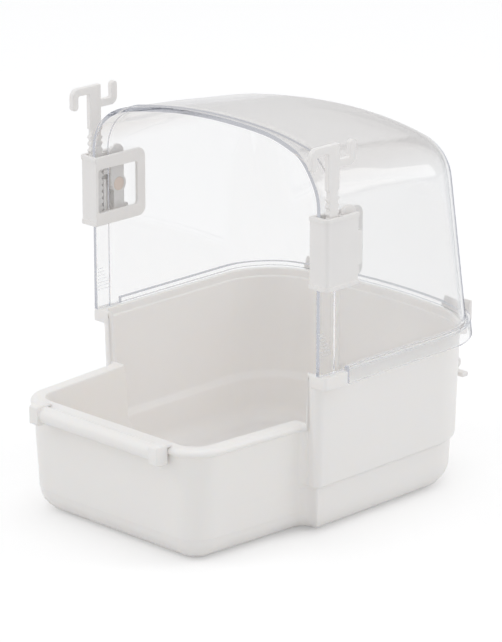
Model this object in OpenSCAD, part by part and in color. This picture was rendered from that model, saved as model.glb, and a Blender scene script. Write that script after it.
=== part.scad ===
// Outside bird bath for a cage: tub, clear hood, sliding hook holders and rear latches.
// Millimetres, +Z up, front towards -Y, origin at the middle of the bottom of the bounding box.

/* [Overall] */
// width over both hook holders
holder_span = 141; // [125:0.5:160]

/* [Tub] */
// height of the rear rim
rear_h = 70; // [60:1:85]
// setback of the shoulder behind the holder face
shoulder_setback = 3; // [2:0.1:5]
// length from the shoulder to the rear wall beside the corners
rear_l = 103; // [90:1:120]
// width of each shoulder beside the front part
shoulder_w = 8.8; // [8:0.1:12]
// taper of the front part on each side
nose_taper = 3.2; // [0:0.1:6]
// height of the front rim
front_h = 48.5; // [40:0.5:56]
// length of the front part
front_l = 56.5; // [45:0.5:70]
// wall thickness of the tub
tub_wall = 2.2; // [1.6:0.1:3]
// thickness of the front part's wall at its rim
front_wall = 5.2; // [4:0.1:6]
// floor thickness of the tub
tub_floor = 2.4; // [1.6:0.1:4]
// plan radius of the rear corners
rear_corner_r = 29; // [20:1:36]
// plan radius of the front corners
front_corner_r = 14; // [8:1:20]
// plan radius of the outer shoulder corner
shoulder_r = 4.5; // [3:0.1:5]
// plan radius of the inner shoulder corner
cove_r = 3; // [1:0.1:3]
// plan radius of the ridge inside the shoulder
ridge_r = 1.6; // [0.8:0.1:2]
// bow radius of the rear wall
rear_bow_r = 196; // [120:1:400]
// height of the step round the rear part
step_h = 21.5; // [15:0.5:30]
// depth of the step
step_in = 1.9; // [1:0.1:3]
// height of the sloping ledge inside the step
ledge_h = 3; // [1:0.1:5]
// inward slope of the front walls
front_draft = 0.05; // [0:0.005:0.1]
// inward slope of the rear walls
rear_draft = 0.03; // [0:0.005:0.06]
// radius of the bottom edge
floor_r = 10; // [5:0.5:12]
// overhang of the front rim bead
bead_out = 1.2; // [0.4:0.1:1.2]
// height of the front rim bead
bead_h = 3; // [2:0.1:5]
// depth of the recess inside the rear rim
recess_d = 0.6; // [0.3:0.05:0.8]
// height of the recess inside the rear rim
recess_h = 3.4; // [2:0.1:5]

/* [Rim] */
// overhang of lip blocks and hood flange
lip_out = 3.85; // [2.5:0.05:6]
// height of the lip blocks
lip_drop = 5.5; // [4:0.1:8]
// length of a lip block
lip_l = 13.2; // [11:0.1:20]
// plan radius of the lip block's corner
lip_r = 1.5; // [0.5:0.1:2]

/* [Perch rail] */
// length of the rail over its end blocks
rail_l = 74; // [60:1:84]
// height of the bar
rail_h = 6.8; // [5:0.1:9]
// depth of the bar
rail_d = 5.4; // [4:0.1:8]
// length of an end block
rail_end_l = 5; // [4:0.5:8]
// step of the end block beyond the bar
rail_end_step = 0.8; // [0.4:0.1:1.5]

/* [Hood] */
// overhang of the hood walls over the tub walls
hood_over = 1.6; // [1:0.1:2]
// height of the roof at the front edge
hood_top = 163.8; // [150:0.2:185]
// wall thickness of the hood
hood_wall = 1.8; // [1.2:0.1:2.5]
// setback of the front edge behind the holder face
hood_setback = 2.4; // [2:0.1:5]
// fall of the roof per mm towards the rear
roof_fall = 0.078; // [0:0.002:0.2]
// crown radius of the roof
crown_r = 280; // [150:5:400]
// radius between walls and roof at the front edge
arch_r = 24; // [20:1:26]
// radius between walls and roof towards the rear
hood_r = 14; // [10:1:18]
// length over which the front radius runs into the rear one
arch_l = 40; // [30:1:60]
// plan radius of the rear corners
hood_corner_r = 20; // [18:1:26]
// forward lean of the rear wall per mm of height
rear_lean = 0.15; // [0:0.002:0.2]
// backward sweep of the front edge from the posts to the crown
edge_back = 9; // [0:0.2:9]
// width of the raised band along the front edge
band_w = 3.4; // [2:0.1:5]
// extra thickness of the raised band
band_t = 0.5; // [0.3:0.1:0.8]
// distance of the band behind the front edge of a post
band_set = 5.3; // [4.5:0.1:6]
// how much nearer the band runs to the front edge at the crown
band_pull = 4.1; // [0:0.1:4.2]
// thickness of the flange
flange_t = 1.6; // [1.2:0.1:2.4]
// number of fine ribs inside a post
rib_n = 7; // [3:1:8]
// spacing of the ribs
rib_pitch = 1.5; // [1.2:0.1:1.6]
// height of the lowest rib above the hood's lower edge
rib_rise = 8; // [4:0.5:9]
// thickness of a rib
rib_t = 0.5; // [0.3:0.05:0.6]
// length of the lowest rib
rib_l = 7; // [6:0.1:8]
// difference in length between neighbouring ribs
rib_step = 0.7; // [0:0.05:0.8]

/* [Hook holders] */
// depth of the inner frame
frame_l = 29.4; // [26:0.1:34]
// depth of the outer wall
sleeve_l = 18.1; // [16:0.1:24]
// height of a holder
holder_h = 29.4; // [26:0.1:34]
// height of the holder's lower edge
holder_z = 106.8; // [92:0.2:107]
// thickness of a holder's frame and front wall
holder_wall = 1.5; // [1.2:0.1:2]
// thickness of a holder's outer wall
sleeve_wall = 1.3; // [1:0.1:2]
// width of the frame bar behind the window
frame_bar = 4.6; // [3:0.1:7]
// height of the frame bars above and below the window
frame_rail = 5.4; // [4:0.1:7]
// height of the top and bottom lips
holder_lip = 1.1; // [0.8:0.1:2]
// overhang of the lips
lip_proud = 0.4; // [0.2:0.1:0.6]
// thickness of the guide rib behind the stem
guide_w = 1.4; // [1:0.1:1.6]
// height of the ear behind the outer wall
ear_h = 14.2; // [10:0.1:20]
// radius of the frame's rear corners
frame_r = 6; // [3:0.5:8]
// radius of the window's corners
window_r = 2.5; // [1:0.5:3]

/* [Hooks] */
// thickness of a hook
hook_t = 2.3; // [1.8:0.1:2.4]
// distance of the stem from the hood's wall
hook_set = 1.6; // [1.2:0.1:2.2]
// width of the stem
stem_w = 6.3; // [5:0.1:7]
// height of the hook's top edge
hook_top = 165.4; // [160:0.2:175]
// reach of the front arm from the stem
front_reach = 9.6; // [7:0.1:12]
// reach of the rear arm from the stem
rear_reach = 9.2; // [7:0.1:12]
// thickness of the arms
arm_t = 3.3; // [2.4:0.1:4]
// drop of the front arm
arm_drop = 9.2; // [7:0.1:11]
// rise of the rear arm
arm_rise = 9.9; // [7:0.1:11]
// plain length of the stem between rear arm and teeth
neck_l = 9.1; // [6:0.1:12]
// length of the toothed part
rack_l = 36; // [28:0.5:38]
// pitch of the teeth
tooth_pitch = 2.8; // [2:0.1:4]
// depth of the teeth
tooth_d = 0.9; // [0.5:0.1:1.2]

/* [Catch levers] */
// thickness of a catch lever
pawl_t = 1.8; // [1.4:0.1:2]
// width of a catch lever
pawl_w = 7.7; // [6:0.1:9]
// height of its tab above the holder
pawl_rise = 2.7; // [2:0.1:5]
// radius of the pivot pin
pawl_pin_r = 2.8; // [2:0.1:3]
// wall of the lever round its pin
pawl_eye = 1.3; // [1:0.1:1.6]
// wall of the holder's boss round the pin
boss_wall = 0.8; // [0.6:0.1:1.2]
// distance of the lever behind the hook's stem
pawl_set = 3.3; // [3:0.1:4]
// setback of the lever's leg from its front edge
leg_in = 1.6; // [1.4:0.1:2]
// reach of the foot behind the leg
foot_l = 2.2; // [1:0.1:3]
// height of the foot
foot_h = 3.1; // [2:0.1:4]
// distance of the lever's foot from the holder's lower edge
pawl_foot = 2.7; // [2:0.1:4]
// height of the catch nose above the pin
nose_rise = 5; // [4.6:0.1:6]
// thickness of the catch nose
nose_h = 2; // [1.2:0.1:2.4]

/* [Rear latches] */
// distance between the two latches
latch_span = 80; // [76:1:84]
// width of a latch's tab and thumb plate
latch_w = 14; // [10:0.5:18]
// width of its arm and fork
latch_arm_w = 8.4; // [7.6:0.1:10]
// thickness of a latch
latch_t = 2; // [1.6:0.1:3]
// height of the tab above the rear rim
latch_rise = 3.4; // [2:0.1:6]
// height of the thumb plate
latch_plate_z = 40.4; // [36:0.2:44]
// length of the thumb plate
latch_plate_l = 4.8; // [4:0.2:6]
// height of the pin above the thumb plate
latch_pin_rise = 6; // [5:0.2:7]
// radius of the latch pin
latch_pin_r = 1; // [0.8:0.1:1.2]
// radius of the lug and the fork eyes
lug_r = 2.4; // [2.2:0.1:2.6]
// width of the lug between the fork arms
lug_w = 4; // [3:0.1:4.4]
// clearance between the latch arm and the rear wall
latch_clear = 1.2; // [1:0.1:2]
// distance of the latch's bend below the hood skirt
latch_bend = 6.4; // [5:0.2:8]

/* [Fits] */
// free gap between moving pieces
gap = 0.3; // [0.2:0.05:0.5]
// running clearance of a pin in its bore
pin_play = 0.05; // [0.02:0.01:0.1]

/* [Hidden] */
$fn = 40;
eps = 0.01;

// planes along the length, measured from the front face of the holders
y_shoulder = shoulder_setback;
y_nose = y_shoulder - front_l;
y_rear = y_shoulder + rear_l;

// half widths of the hood, the rear part, the front part and the front wall
hx = holder_span / 2 - lip_proud - sleeve_wall - gap - hook_t - hook_set;
xr = hx - hood_over;
xj = xr - shoulder_w;
xn = xj - nose_taper;

// tub plan outline, front part inset by df and rear part by dr
corner_c = [xr - rear_corner_r, y_rear - rear_corner_r];
bow_angle = asin(corner_c[0] / (rear_bow_r - rear_corner_r));
bow_y = corner_c[1] - (rear_bow_r - rear_corner_r) * cos(bow_angle);
function arc_pts(c, r, a0, a1, n) =
  [for (i = [0 : n]) c + r * [cos(a0 + (a1 - a0) * i / n), sin(a0 + (a1 - a0) * i / n)]];
function half_outline(df, dr, cove) =
  let (rf = max(0.8, front_corner_r - df))
  let (rv = max(0.4, shoulder_r - dr))
  let (rc = min(cove, xr - dr - (xj - df) - rv - 0.3))
  concat(
    [[0, y_nose + df]],
    arc_pts([xn - df - rf, y_nose + df + rf], rf, -90, 0, 7),
    [[(xn + xj) / 2 - df, (y_nose + y_shoulder) / 2]],
    arc_pts([xj - df + rc, y_shoulder + dr - rc], rc, 180, 90, 4),
    arc_pts([xr - dr - rv, y_shoulder + dr + rv], rv, -90, 0, 5),
    [[xr - dr, y_shoulder + rear_l * 0.4]],
    arc_pts(corner_c, rear_corner_r - dr, 0, 90 - bow_angle, 9),
    [for (a = [90 - bow_angle / 2, 90]) [0, bow_y] + (rear_bow_r - dr) * [cos(a), sin(a)]]
  );
HALF_N = len(half_outline(0, 0, cove_r));
RING_N = 2 * HALF_N - 2;
FRONT_N = 14;
function ring(h) = concat(h, [for (i = [HALF_N - 2 : -1 : 1]) [-h[i][0], h[i][1]]]);
function ring_top(j) = (j < HALF_N ? j : RING_N - j) < FRONT_N ? front_h : rear_h;

// rows of the tub surface: height, front inset, rear inset, and depth below the rim for rim rows
function rear_in(z) = rear_draft * (rear_h - z);
function wall_rows(f, draft, t, z0, r, s0, s1) = concat(
  [for (a = [0 : 15 : 75]) let (z = z0 + r * (1 - cos(a)), d = r * (1 - sin(a)))
    [z, f + draft * (front_h - z) + d, t + rear_in(z) + step_in + d, 0]],
  [[z0 + r, f + draft * (front_h - z0 - r), t + rear_in(z0 + r) + step_in, 0],
   [s0, f + draft * (front_h - s0), t + rear_in(s0) + step_in, 0],
   [s1, f + draft * (front_h - s1), t + rear_in(s1), 0]]
);
function outer_rows() = concat(
  wall_rows(0, front_draft, 0, 0, floor_r, step_h - step_in / 3, step_h + step_in / 3), [
  [0, front_draft * bead_h, rear_draft * bead_h, bead_h],
  [0, -bead_out * 0.75, rear_draft * bead_h, bead_h * 0.8],
  [0, -bead_out, rear_draft * bead_h, bead_h * 0.6],
  [0, -bead_out, 0, bead_h * 0.2],
  [0, -bead_out / 2, 0, eps]]);
ledge_z = step_h - ledge_h / 6;
function inner_rows() = concat(
  wall_rows(front_wall, 0, tub_wall, tub_floor, floor_r - tub_wall, ledge_z, ledge_z + ledge_h), [
  [0, front_wall, tub_wall, recess_h + recess_d],
  [0, front_wall, tub_wall - recess_d, recess_h],
  [0, front_wall, tub_wall - recess_d, recess_d],
  [0, front_wall - recess_d, tub_wall - 1.6 * recess_d, eps]]);
function row_z(row, j) = row[3] == 0 ? row[0] : row[3] == eps ? ring_top(j) : ring_top(j) - row[3];
function row_pts(row, cove) =
  let (o = ring(half_outline(row[1], row[2], cove)))
  [for (j = [0 : RING_N - 1]) [o[j][0], o[j][1], row_z(row, j)]];
function strip(a, b, n) =
  [for (j = [0 : n - 1]) let (k = (j + 1) % n) each [[b + k, a + k, a + j], [b + j, b + k, a + j]]];

// flat caps, closed in strips between mirrored points; the shoulder points share one line
function cap_faces(base) =
  let (l = [for (i = [0 : HALF_N - 1]) base + (RING_N - i) % RING_N])
  concat(
    [[base + 2, l[2], l[1]], [base + 2, l[1], base], [base + 2, base, base + 1]],
    [for (i = [2 : HALF_N - 3]) if (i != FRONT_N && i != FRONT_N + 1)
      each [[base + i, base + i + 1, l[i + 1]], [base + i, l[i + 1], l[i]]]],
    let (i = base + FRONT_N, k = FRONT_N)
      [[i + 2, l[k + 2], l[k + 1]], [i + 2, l[k + 1], l[k]], [i + 2, l[k], i], [i + 2, i, i + 1]],
    [[base + HALF_N - 2, base + HALF_N - 1, l[HALF_N - 2]]]
  );
function flip(fs) = [for (f = fs) [for (i = [len(f) - 1 : -1 : 0]) f[i]]];

module tub_shell() {
  inner = inner_rows();
  rows = outer_rows();
  n = len(rows) + len(inner);
  last = (n - 1) * RING_N;
  polyhedron(
    points = concat(
      [for (r = rows) each row_pts(r, cove_r + max(0, r[1]))],
      [for (i = [len(inner) - 1 : -1 : 0]) each row_pts(inner[i], ridge_r)]
    ),
    faces = concat(
      cap_faces(0),
      [for (i = [0 : n - 2]) each strip(i * RING_N, (i + 1) * RING_N, RING_N)],
      flip(cap_faces(last))
    ),
    convexity = 8
  );
}

// outline in the Y-Z plane drawn out along X
module along_x(x0, x1) {
  translate([x0, 0, 0]) rotate([90, 0, 90]) linear_extrude(x1 - x0) children();
}

// right-hand piece and its mirror image
module both_sides() {
  children();
  mirror([1, 0, 0]) children();
}

// rectangle with four round corners
module round_rect(u0, v0, u1, v1, r) {
  translate([u0 + r, v0]) square([u1 - u0 - 2 * r, v1 - v0]);
  translate([u0, v0 + r]) square([u1 - u0, v1 - v0 - 2 * r]);
  for (u = [u0 + r, u1 - r], v = [v0 + r, v1 - r]) translate([u, v]) circle(r);
}

// lip block beside each front post
lip_y1 = y_shoulder + lip_l;
module lip_block() {
  x1 = xr + lip_out;
  in_x = xr - tub_wall / 2;
  translate([0, 0, rear_h - lip_drop]) linear_extrude(lip_drop) {
    polygon([
      [xr - shoulder_r, y_shoulder],
      [x1 - lip_r, y_shoulder],
      [x1 - lip_r, lip_y1],
      [in_x, lip_y1],
      [in_x, y_shoulder + shoulder_r],
      [xr - shoulder_r, y_shoulder + tub_wall / 2]
    ]);
    translate([x1 - 2 * lip_r, y_shoulder + lip_r]) square([2 * lip_r, lip_l - lip_r]);
    translate([x1 - lip_r, y_shoulder + lip_r]) circle(lip_r);
  }
}

// rear latch pivot, shared by lug, latch and pin
latch_x = latch_span / 2;
latch_x0 = latch_x - latch_w / 2;
latch_x1 = latch_x + latch_w / 2;
arm_x0 = latch_x - latch_arm_w / 2;
arm_x1 = latch_x + latch_arm_w / 2;
latch_arm_y = y_rear + latch_clear;
latch_pz = latch_plate_z + latch_pin_rise;
function wall_y(x) = x > corner_c[0]
  ? corner_c[1] + sqrt(pow(rear_corner_r, 2) - pow(x - corner_c[0], 2))
  : bow_y + sqrt(pow(rear_bow_r, 2) - x * x);
latch_py = wall_y(arm_x0) - rear_in(latch_pz) + lug_r + 2 * gap;
lug_y0 = wall_y(latch_x + lug_w / 2) - rear_in(latch_pz) - tub_wall / 2;
module lug_2d() {
  translate([latch_py, latch_pz]) circle(lug_r);
  translate([lug_y0, latch_pz - lug_r / 2]) square([latch_py - lug_y0, 1.5 * lug_r]);
}
module latch_lug() {
  along_x(latch_x - lug_w / 2, latch_x + lug_w / 2) difference() {
    lug_2d();
    translate([latch_py, latch_pz]) circle(latch_pin_r);
  }
}

module tub() {
  color("white") {
    tub_shell();
    both_sides() lip_block();
    both_sides() latch_lug();
  }
}

// perch rail along the front rim
rail_back = y_nose - bead_out;
rail_top = front_h + rail_end_step;
module rail_end_2d() {
  translate([rail_back - rail_d - rail_end_step, rail_top - rail_h - rail_end_step])
    square([rail_d + rail_end_step, rail_h + 2 * rail_end_step]);
  translate([rail_back - eps, front_h])
    square([bead_out + tub_wall / 2, rail_top + rail_end_step - front_h]);
}
module perch_rail() {
  color("white") {
    along_x(-rail_l / 2 + rail_end_l / 2, rail_l / 2 - rail_end_l / 2) difference() {
      translate([rail_back - rail_d + rail_h / 2, rail_top - rail_h / 2]) circle(rail_h / 2);
      translate([rail_back, rail_top - rail_h]) square(rail_h);
    }
    both_sides() along_x(rail_l / 2 - rail_end_l, rail_l / 2) rail_end_2d();
  }
}

// hood surface: signed distance of a rounded box with sloping roof and leaning, bowed rear wall
hood_z = rear_h + gap;
hood_rear = bow_y + rear_bow_r + hx - xr;
function rear_y(x, z) = hood_rear - x * x / (2 * rear_bow_r) - rear_lean * (z - rear_h);
function roof_r(y) =
  let (t = min(1, max(0, (y - hood_setback) / arch_l)))
  arch_r + (hood_r - arch_r) * t * t * (3 - 2 * t);
function hood_f(p) =
  let (r = roof_r(p[1]))
  let (a = abs(p[0]) - hx)
  let (b = (p[1] - rear_y(p[0], p[2])) / norm([1, rear_lean]))
  let (ab = norm([max(a + hood_corner_r, 0), max(b + hood_corner_r, 0)]) - hood_corner_r)
  let (c = p[2] - hood_top + roof_fall * (p[1] - hood_setback) + p[0] * p[0] / (2 * crown_r))
  norm([max(ab + r, 0), max(c + r, 0)]) - r;
function on_hood(o, d, off, lo, hi, n) =
  let (m = (lo + hi) / 2)
  n == 0 ? o + d * m
    : hood_f(o + d * m) < off ? on_hood(o, d, off, m, hi, n - 1)
    : on_hood(o, d, off, lo, m, n - 1);

// side columns: place along Y, backward sweep at the crown, extra thickness
band_y0 = hood_setback + band_set;
band_y1 = band_y0 + band_w;
fan_y = hood_rear - hx;
flange_y = lip_y1 + 2 * gap;
SIDE = [
  [hood_setback, edge_back, 0],
  [band_y0, edge_back - band_pull, 0],
  [band_y0 + gap, edge_back - band_pull, band_t],
  [band_y1 - gap, edge_back - band_pull, band_t],
  [band_y1, edge_back - band_pull, 0],
  [lip_y1 + gap, edge_back * 0.5, 0],
  [flange_y, edge_back * 0.55, 0],
  [(flange_y + fan_y) / 2, 0, 0],
  [fan_y, 0, 0]
];
SIDE_N = len(SIDE);

// columns run from the right front post round the rear to the left front post
FAN_N = 30;
COLS = concat(
  [for (c = SIDE) [c[0], 0, c[1], c[2]]],
  [for (i = [1 : FAN_N - 1]) [fan_y, 180 * i / FAN_N, 0, 0]],
  [for (i = [SIDE_N - 1 : -1 : 0]) [SIDE[i][0], 180, SIDE[i][1], SIDE[i][2]]]
);
COL_N = len(COLS);
function col_flange(c) = c[0] >= flange_y;
function col_pt(c, z, tilt, off) = on_hood(
  [0, c[0] + c[2] * pow(sin(tilt), 3), z],
  [cos(c[1]) * cos(tilt), sin(c[1]) * cos(tilt), sin(tilt)],
  off, 0, 2 * hx, 26);
TILTS = [24, 38, 44, 47, 49.5, 52, 54.5, 57, 60, 64, 70, 78];
flange_off = xr + lip_out - hx;
skirt_z = hood_z - lip_drop;
function flange_back(x) = rear_y(x, skirt_z) + flange_off * norm([1, rear_lean]);
function edge_rows(c) =
  let (in_off = flange_off - flange_t)
  let (top = hood_z + flange_t)
  col_flange(c)
    ? [[hood_z, in_off], [skirt_z, in_off], [skirt_z, flange_off], [top, flange_off], [top, 0]]
    : [for (k = [0 : 4]) [hood_z + flange_t * k / 4, c[3]]];
EDGE_N = 5;
OUT_N = EDGE_N + len(TILTS);
IN_N = 1 + len(TILTS);
TOP_A = OUT_N * COL_N;
IN_0 = TOP_A + SIDE_N;
TOP_B = IN_0 + IN_N * COL_N;
function top_i(j) = j < SIDE_N ? j : j >= COL_N - SIDE_N ? COL_N - 1 - j : SIDE_N - 1;
function grid_faces(base, n, top) = concat(
  [for (i = [0 : n - 2], j = [0 : COL_N - 2]) let (a = base + i * COL_N + j)
    each [[a, a + 1, a + COL_N + 1], [a, a + COL_N + 1, a + COL_N]]],
  [for (j = [0 : COL_N - 2]) let (a = base + (n - 1) * COL_N + j)
    each top_i(j) == top_i(j + 1) ? [[a, a + 1, top + top_i(j)]]
      : [[a, a + 1, top + top_i(j + 1)], [a, top + top_i(j + 1), top + top_i(j)]]]
);
// front edge of the hood on the right (j = 0) and left (j = COL_N - 1), in strips between the two faces
function edge_faces(j) =
  let (n = [for (i = [0 : IN_N - 1]) IN_0 + i * COL_N + j])
  let (o = [for (i = [0 : OUT_N - 1]) i * COL_N + j])
  concat(
    [concat([n[0]], [for (k = [0 : EDGE_N]) o[k]], [n[1]])],
    [for (k = [1 : IN_N - 2]) [n[k], o[k + EDGE_N - 1], o[k + EDGE_N], n[k + 1]]],
    [[n[IN_N - 1], o[OUT_N - 1], TOP_A, TOP_B]]
  );
function turn(fs) = [for (f = fs) concat([f[0]], [for (i = [len(f) - 1 : -1 : 1]) f[i]])];

module hood_shell() {
  edges = [for (c = COLS) edge_rows(c)];
  pts = concat(
    [for (k = [0 : EDGE_N - 1], j = [0 : COL_N - 1]) col_pt(COLS[j], edges[j][k][0], 0, edges[j][k][1])],
    [for (t = TILTS, c = COLS) col_pt(c, hood_z, t, c[3])],
    [for (j = [0 : SIDE_N - 1]) col_pt(COLS[j], hood_z, 90, COLS[j][3])],
    [for (c = COLS) col_pt(c, hood_z, 0, -hood_wall)],
    [for (t = TILTS, c = COLS) col_pt(c, hood_z, t, -hood_wall)],
    [for (j = [0 : SIDE_N - 1]) col_pt(COLS[j], hood_z, 90, -hood_wall)]
  );
  front = concat(edge_faces(0), turn(edge_faces(COL_N - 1)));
  base = [for (j = [0 : COL_N - 2]) each [[IN_0 + j, IN_0 + j + 1, j + 1], [IN_0 + j, j + 1, j]]];
  outside = flip(grid_faces(0, OUT_N, TOP_A));
  inside = grid_faces(IN_0, IN_N, TOP_B);
  polyhedron(points = pts, faces = concat(outside, inside, turn(base), turn(front)), convexity = 8);
}

// fine ribs low on the inner face of the front posts
module post_ribs() {
  for (i = [0 : rib_n - 1])
    translate([hx - hood_wall - rib_t / 2, hood_setback + rib_t, hood_z + rib_rise + i * rib_pitch])
      cube([rib_t, rib_l - i * rib_step, rib_t]);
}

module hood() {
  color("LightSteelBlue", 0.35) {
    hood_shell();
    both_sides() post_ribs();
  }
}

// hook holder, planes across the width from the hood outwards
holder_z1 = holder_z + holder_h;
hood_in = min([for (y = [hood_setback, frame_l / 2, frame_l])
  on_hood([0, y, holder_z1], [1, 0, 0], -hood_wall, 0, 2 * hx, 26)[0]]);
frame_x1 = hood_in - 1.5 * gap;
frame_x0 = frame_x1 - holder_wall;
stem_x0 = hx + hook_set;
stem_x1 = stem_x0 + hook_t;
sleeve_x0 = stem_x1 + gap;
sleeve_x1 = sleeve_x0 + sleeve_wall;
stem_y0 = hood_setback;
stem_y1 = stem_y0 + stem_w;
guide_y = stem_y1 + gap;

// catch lever pivot
pawl_x0 = hx + band_t + gap;
pawl_x1 = pawl_x0 + pawl_t;
pawl_y0 = stem_y1 + pawl_set;
pawl_r = pawl_w / 2;
pawl_eye_r = pawl_pin_r + pawl_eye;
pawl_py = pawl_y0 + pawl_eye_r + 2 * gap;
pawl_pz = holder_z + holder_h / 2;
pawl_boss_r = pawl_pin_r + boss_wall;
nose_z = pawl_pz + nose_rise;

module holder_lip_ring(z) {
  translate([frame_x0, -lip_proud, z])
    cube([sleeve_x1 + lip_proud - frame_x0, lip_proud + eps, holder_lip]);
  translate([sleeve_x1 - eps, -lip_proud, z]) cube([lip_proud + eps, sleeve_l + lip_proud, holder_lip]);
}
module frame_2d() {
  difference() {
    union() {
      round_rect(0, holder_z, frame_l, holder_z1, frame_r);
      translate([0, holder_z]) square([frame_l / 2, holder_h]);
    }
    round_rect(holder_wall, holder_z + frame_rail, frame_l - frame_bar, holder_z1 - frame_rail, window_r);
  }
}
module holder() {
  color("white") difference() {
    union() {
      along_x(frame_x0, frame_x1) frame_2d();
      translate([frame_x0, 0, holder_z]) cube([sleeve_x1 - frame_x0, holder_wall, holder_h]);
      translate([sleeve_x0, 0, holder_z]) cube([sleeve_x1 - sleeve_x0, sleeve_l, holder_h]);
      translate([sleeve_x0, pawl_py, pawl_pz - ear_h / 2])
        cube([sleeve_wall, pawl_boss_r, ear_h]);
      for (z = [holder_z, holder_z1 - holder_lip]) holder_lip_ring(z);
      translate([stem_x0 + gap, guide_y, holder_z]) cube([sleeve_x0 - stem_x0, guide_w, holder_h]);
      along_x(pawl_x1 + gap, sleeve_x0 + eps) translate([pawl_py, pawl_pz]) circle(pawl_boss_r);
    }
    translate([stem_x0 - gap, guide_y - eps, nose_z - nose_h])
      cube([sleeve_x0 - stem_x0 + gap, guide_w + 2 * eps, 3 * nose_h]);
    along_x(pawl_x0, pawl_pin_x1) translate([pawl_py, pawl_pz]) circle(pawl_pin_r);
  }
}

// flat double hook with toothed stem
hook_bottom = hook_top - arm_rise - neck_l - rack_l;
rack_top = hook_bottom + rack_l;
module tooth_row(n) {
  y0 = stem_y0 + tooth_d;
  y1 = stem_y1 - tooth_d;
  for (i = [0 : n - 1]) translate([0, hook_bottom + 1 + i * tooth_pitch]) polygon([
    [y0, 0],
    [y1, 0],
    [stem_y1, tooth_pitch * 0.35],
    [stem_y1, tooth_pitch * 0.5],
    [y1, tooth_pitch * 0.85],
    [y0, tooth_pitch * 0.85],
    [stem_y0, tooth_pitch * 0.5],
    [stem_y0, tooth_pitch * 0.35]
  ]);
}
module bent_arm(reach, drop, t) {
  difference() {
    union() {
      square([reach - t, t]);
      translate([reach - t, t]) circle(t);
      translate([reach - t, t]) square([t, drop - 1.5 * t]);
      translate([reach - t / 2, drop - t / 2]) circle(t / 2);
    }
    translate([0, t]) square([reach - t, drop]);
  }
}
module hook_2d() {
  y0 = stem_y0 + tooth_d;
  y1 = stem_y1 - tooth_d;
  polygon([
    [y0, hook_bottom],
    [y1, hook_bottom],
    [y1, rack_top],
    [stem_y1, rack_top + tooth_d],
    [stem_y1, hook_top],
    [stem_y0, hook_top],
    [stem_y0, rack_top + tooth_d],
    [y0, rack_top]
  ]);
  tooth_row(floor((rack_l - 2) / tooth_pitch));
  translate([stem_y0, hook_top]) rotate(180) bent_arm(front_reach, arm_drop, arm_t);
  translate([stem_y1, hook_top - arm_rise]) bent_arm(rear_reach, arm_rise, arm_t);
}
module hook() {
  color("white") along_x(stem_x0, stem_x1) hook_2d();
}

// catch lever with round thumb tab
pawl_top = holder_z1 + pawl_rise;
pawl_pin_x1 = (sleeve_x0 + sleeve_x1) / 2;
module pawl_2d() {
  foot_z = holder_z + pawl_foot;
  translate([pawl_y0, pawl_pz]) square([pawl_w, pawl_top - pawl_r - pawl_pz]);
  translate([pawl_y0 + pawl_r, pawl_top - pawl_r]) circle(pawl_r);
  translate([pawl_py, pawl_pz]) circle(pawl_eye_r);
  translate([pawl_y0 + leg_in, foot_z]) square([pawl_w - leg_in, pawl_pz - foot_z]);
  translate([pawl_y0 + leg_in, foot_z]) square([pawl_w - leg_in + foot_l, foot_h]);
}
module pawl() {
  color("white") difference() {
    union() {
      along_x(pawl_x0, pawl_x1) pawl_2d();
      translate([stem_x0, guide_y, nose_z]) cube([hook_t, pawl_y0 + 2 - guide_y, nose_h]);
    }
    along_x(pawl_x0 - 1, pawl_x1 + 1) translate([pawl_py, pawl_pz]) circle(pawl_pin_r + pin_play);
  }
}
module pawl_pin() {
  color("BurlyWood") along_x(pawl_x0, pawl_pin_x1) translate([pawl_py, pawl_pz]) circle(pawl_pin_r);
}

// rear latch lever with forked arm
latch_tab_y = flange_back(latch_x0) + gap;
latch_jog_z = skirt_z - latch_bend;
latch_top = rear_h + latch_rise;
latch_tab_y1 = latch_tab_y + latch_t;
module latch_tab_2d(z0) {
  polygon([
    [latch_tab_y, z0],
    [latch_tab_y1, z0],
    [latch_tab_y1, latch_top],
    [latch_tab_y + latch_t * 0.4, latch_top],
    [latch_tab_y, latch_top - latch_t]
  ]);
}
module latch_arm_2d() {
  translate([latch_arm_y, latch_plate_z]) square([latch_t, latch_jog_z + latch_t - latch_plate_z]);
  translate([latch_arm_y, latch_jog_z]) square([latch_tab_y1 - latch_arm_y, latch_t]);
  latch_tab_2d(latch_jog_z);
  translate([latch_py, latch_pz]) circle(lug_r);
}
module latch() {
  fork = lug_w + 2 * gap;
  color("white") difference() {
    union() {
      along_x(arm_x0, arm_x1) latch_arm_2d();
      along_x(latch_x0, latch_x1) latch_tab_2d(skirt_z);
      along_x(latch_x0, latch_x1) translate([latch_py, latch_plate_z])
        square([latch_arm_y + latch_plate_l - latch_py, latch_t]);
    }
    translate([latch_x - fork / 2, latch_py - 2 * lug_r, latch_pz - lug_r - gap])
      cube([fork, 4 * lug_r, 2 * lug_r + latch_t]);
    along_x(arm_x0 - 1, arm_x1 + 1) translate([latch_py, latch_pz]) circle(latch_pin_r + pin_play);
  }
}
module latch_pin() {
  color("Silver") along_x(arm_x0, arm_x1) translate([latch_py, latch_pz]) circle(latch_pin_r);
}

// bounding box middle along the length
y_min = rail_back - rail_d - rail_end_step;
y_max = max(latch_tab_y1, latch_arm_y + latch_plate_l, flange_back(0));
module placed() {
  translate([0, -(y_min + y_max) / 2, 0]) children();
}
module placed_left() {
  placed() mirror([1, 0, 0]) children();
}

placed() tub();
placed() perch_rail();
placed() hood();
placed() holder();  // right_holder
placed_left() holder();  // left_holder
placed() hook();  // right_hook
placed_left() hook();  // left_hook
placed() pawl();  // right_pawl
placed_left() pawl();  // left_pawl
placed() pawl_pin();  // right_pawl_pin
placed_left() pawl_pin();  // left_pawl_pin
placed() latch();  // right_latch
placed_left() latch();  // left_latch
placed() latch_pin();  // right_latch_pin
placed_left() latch_pin();  // left_latch_pin
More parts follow.
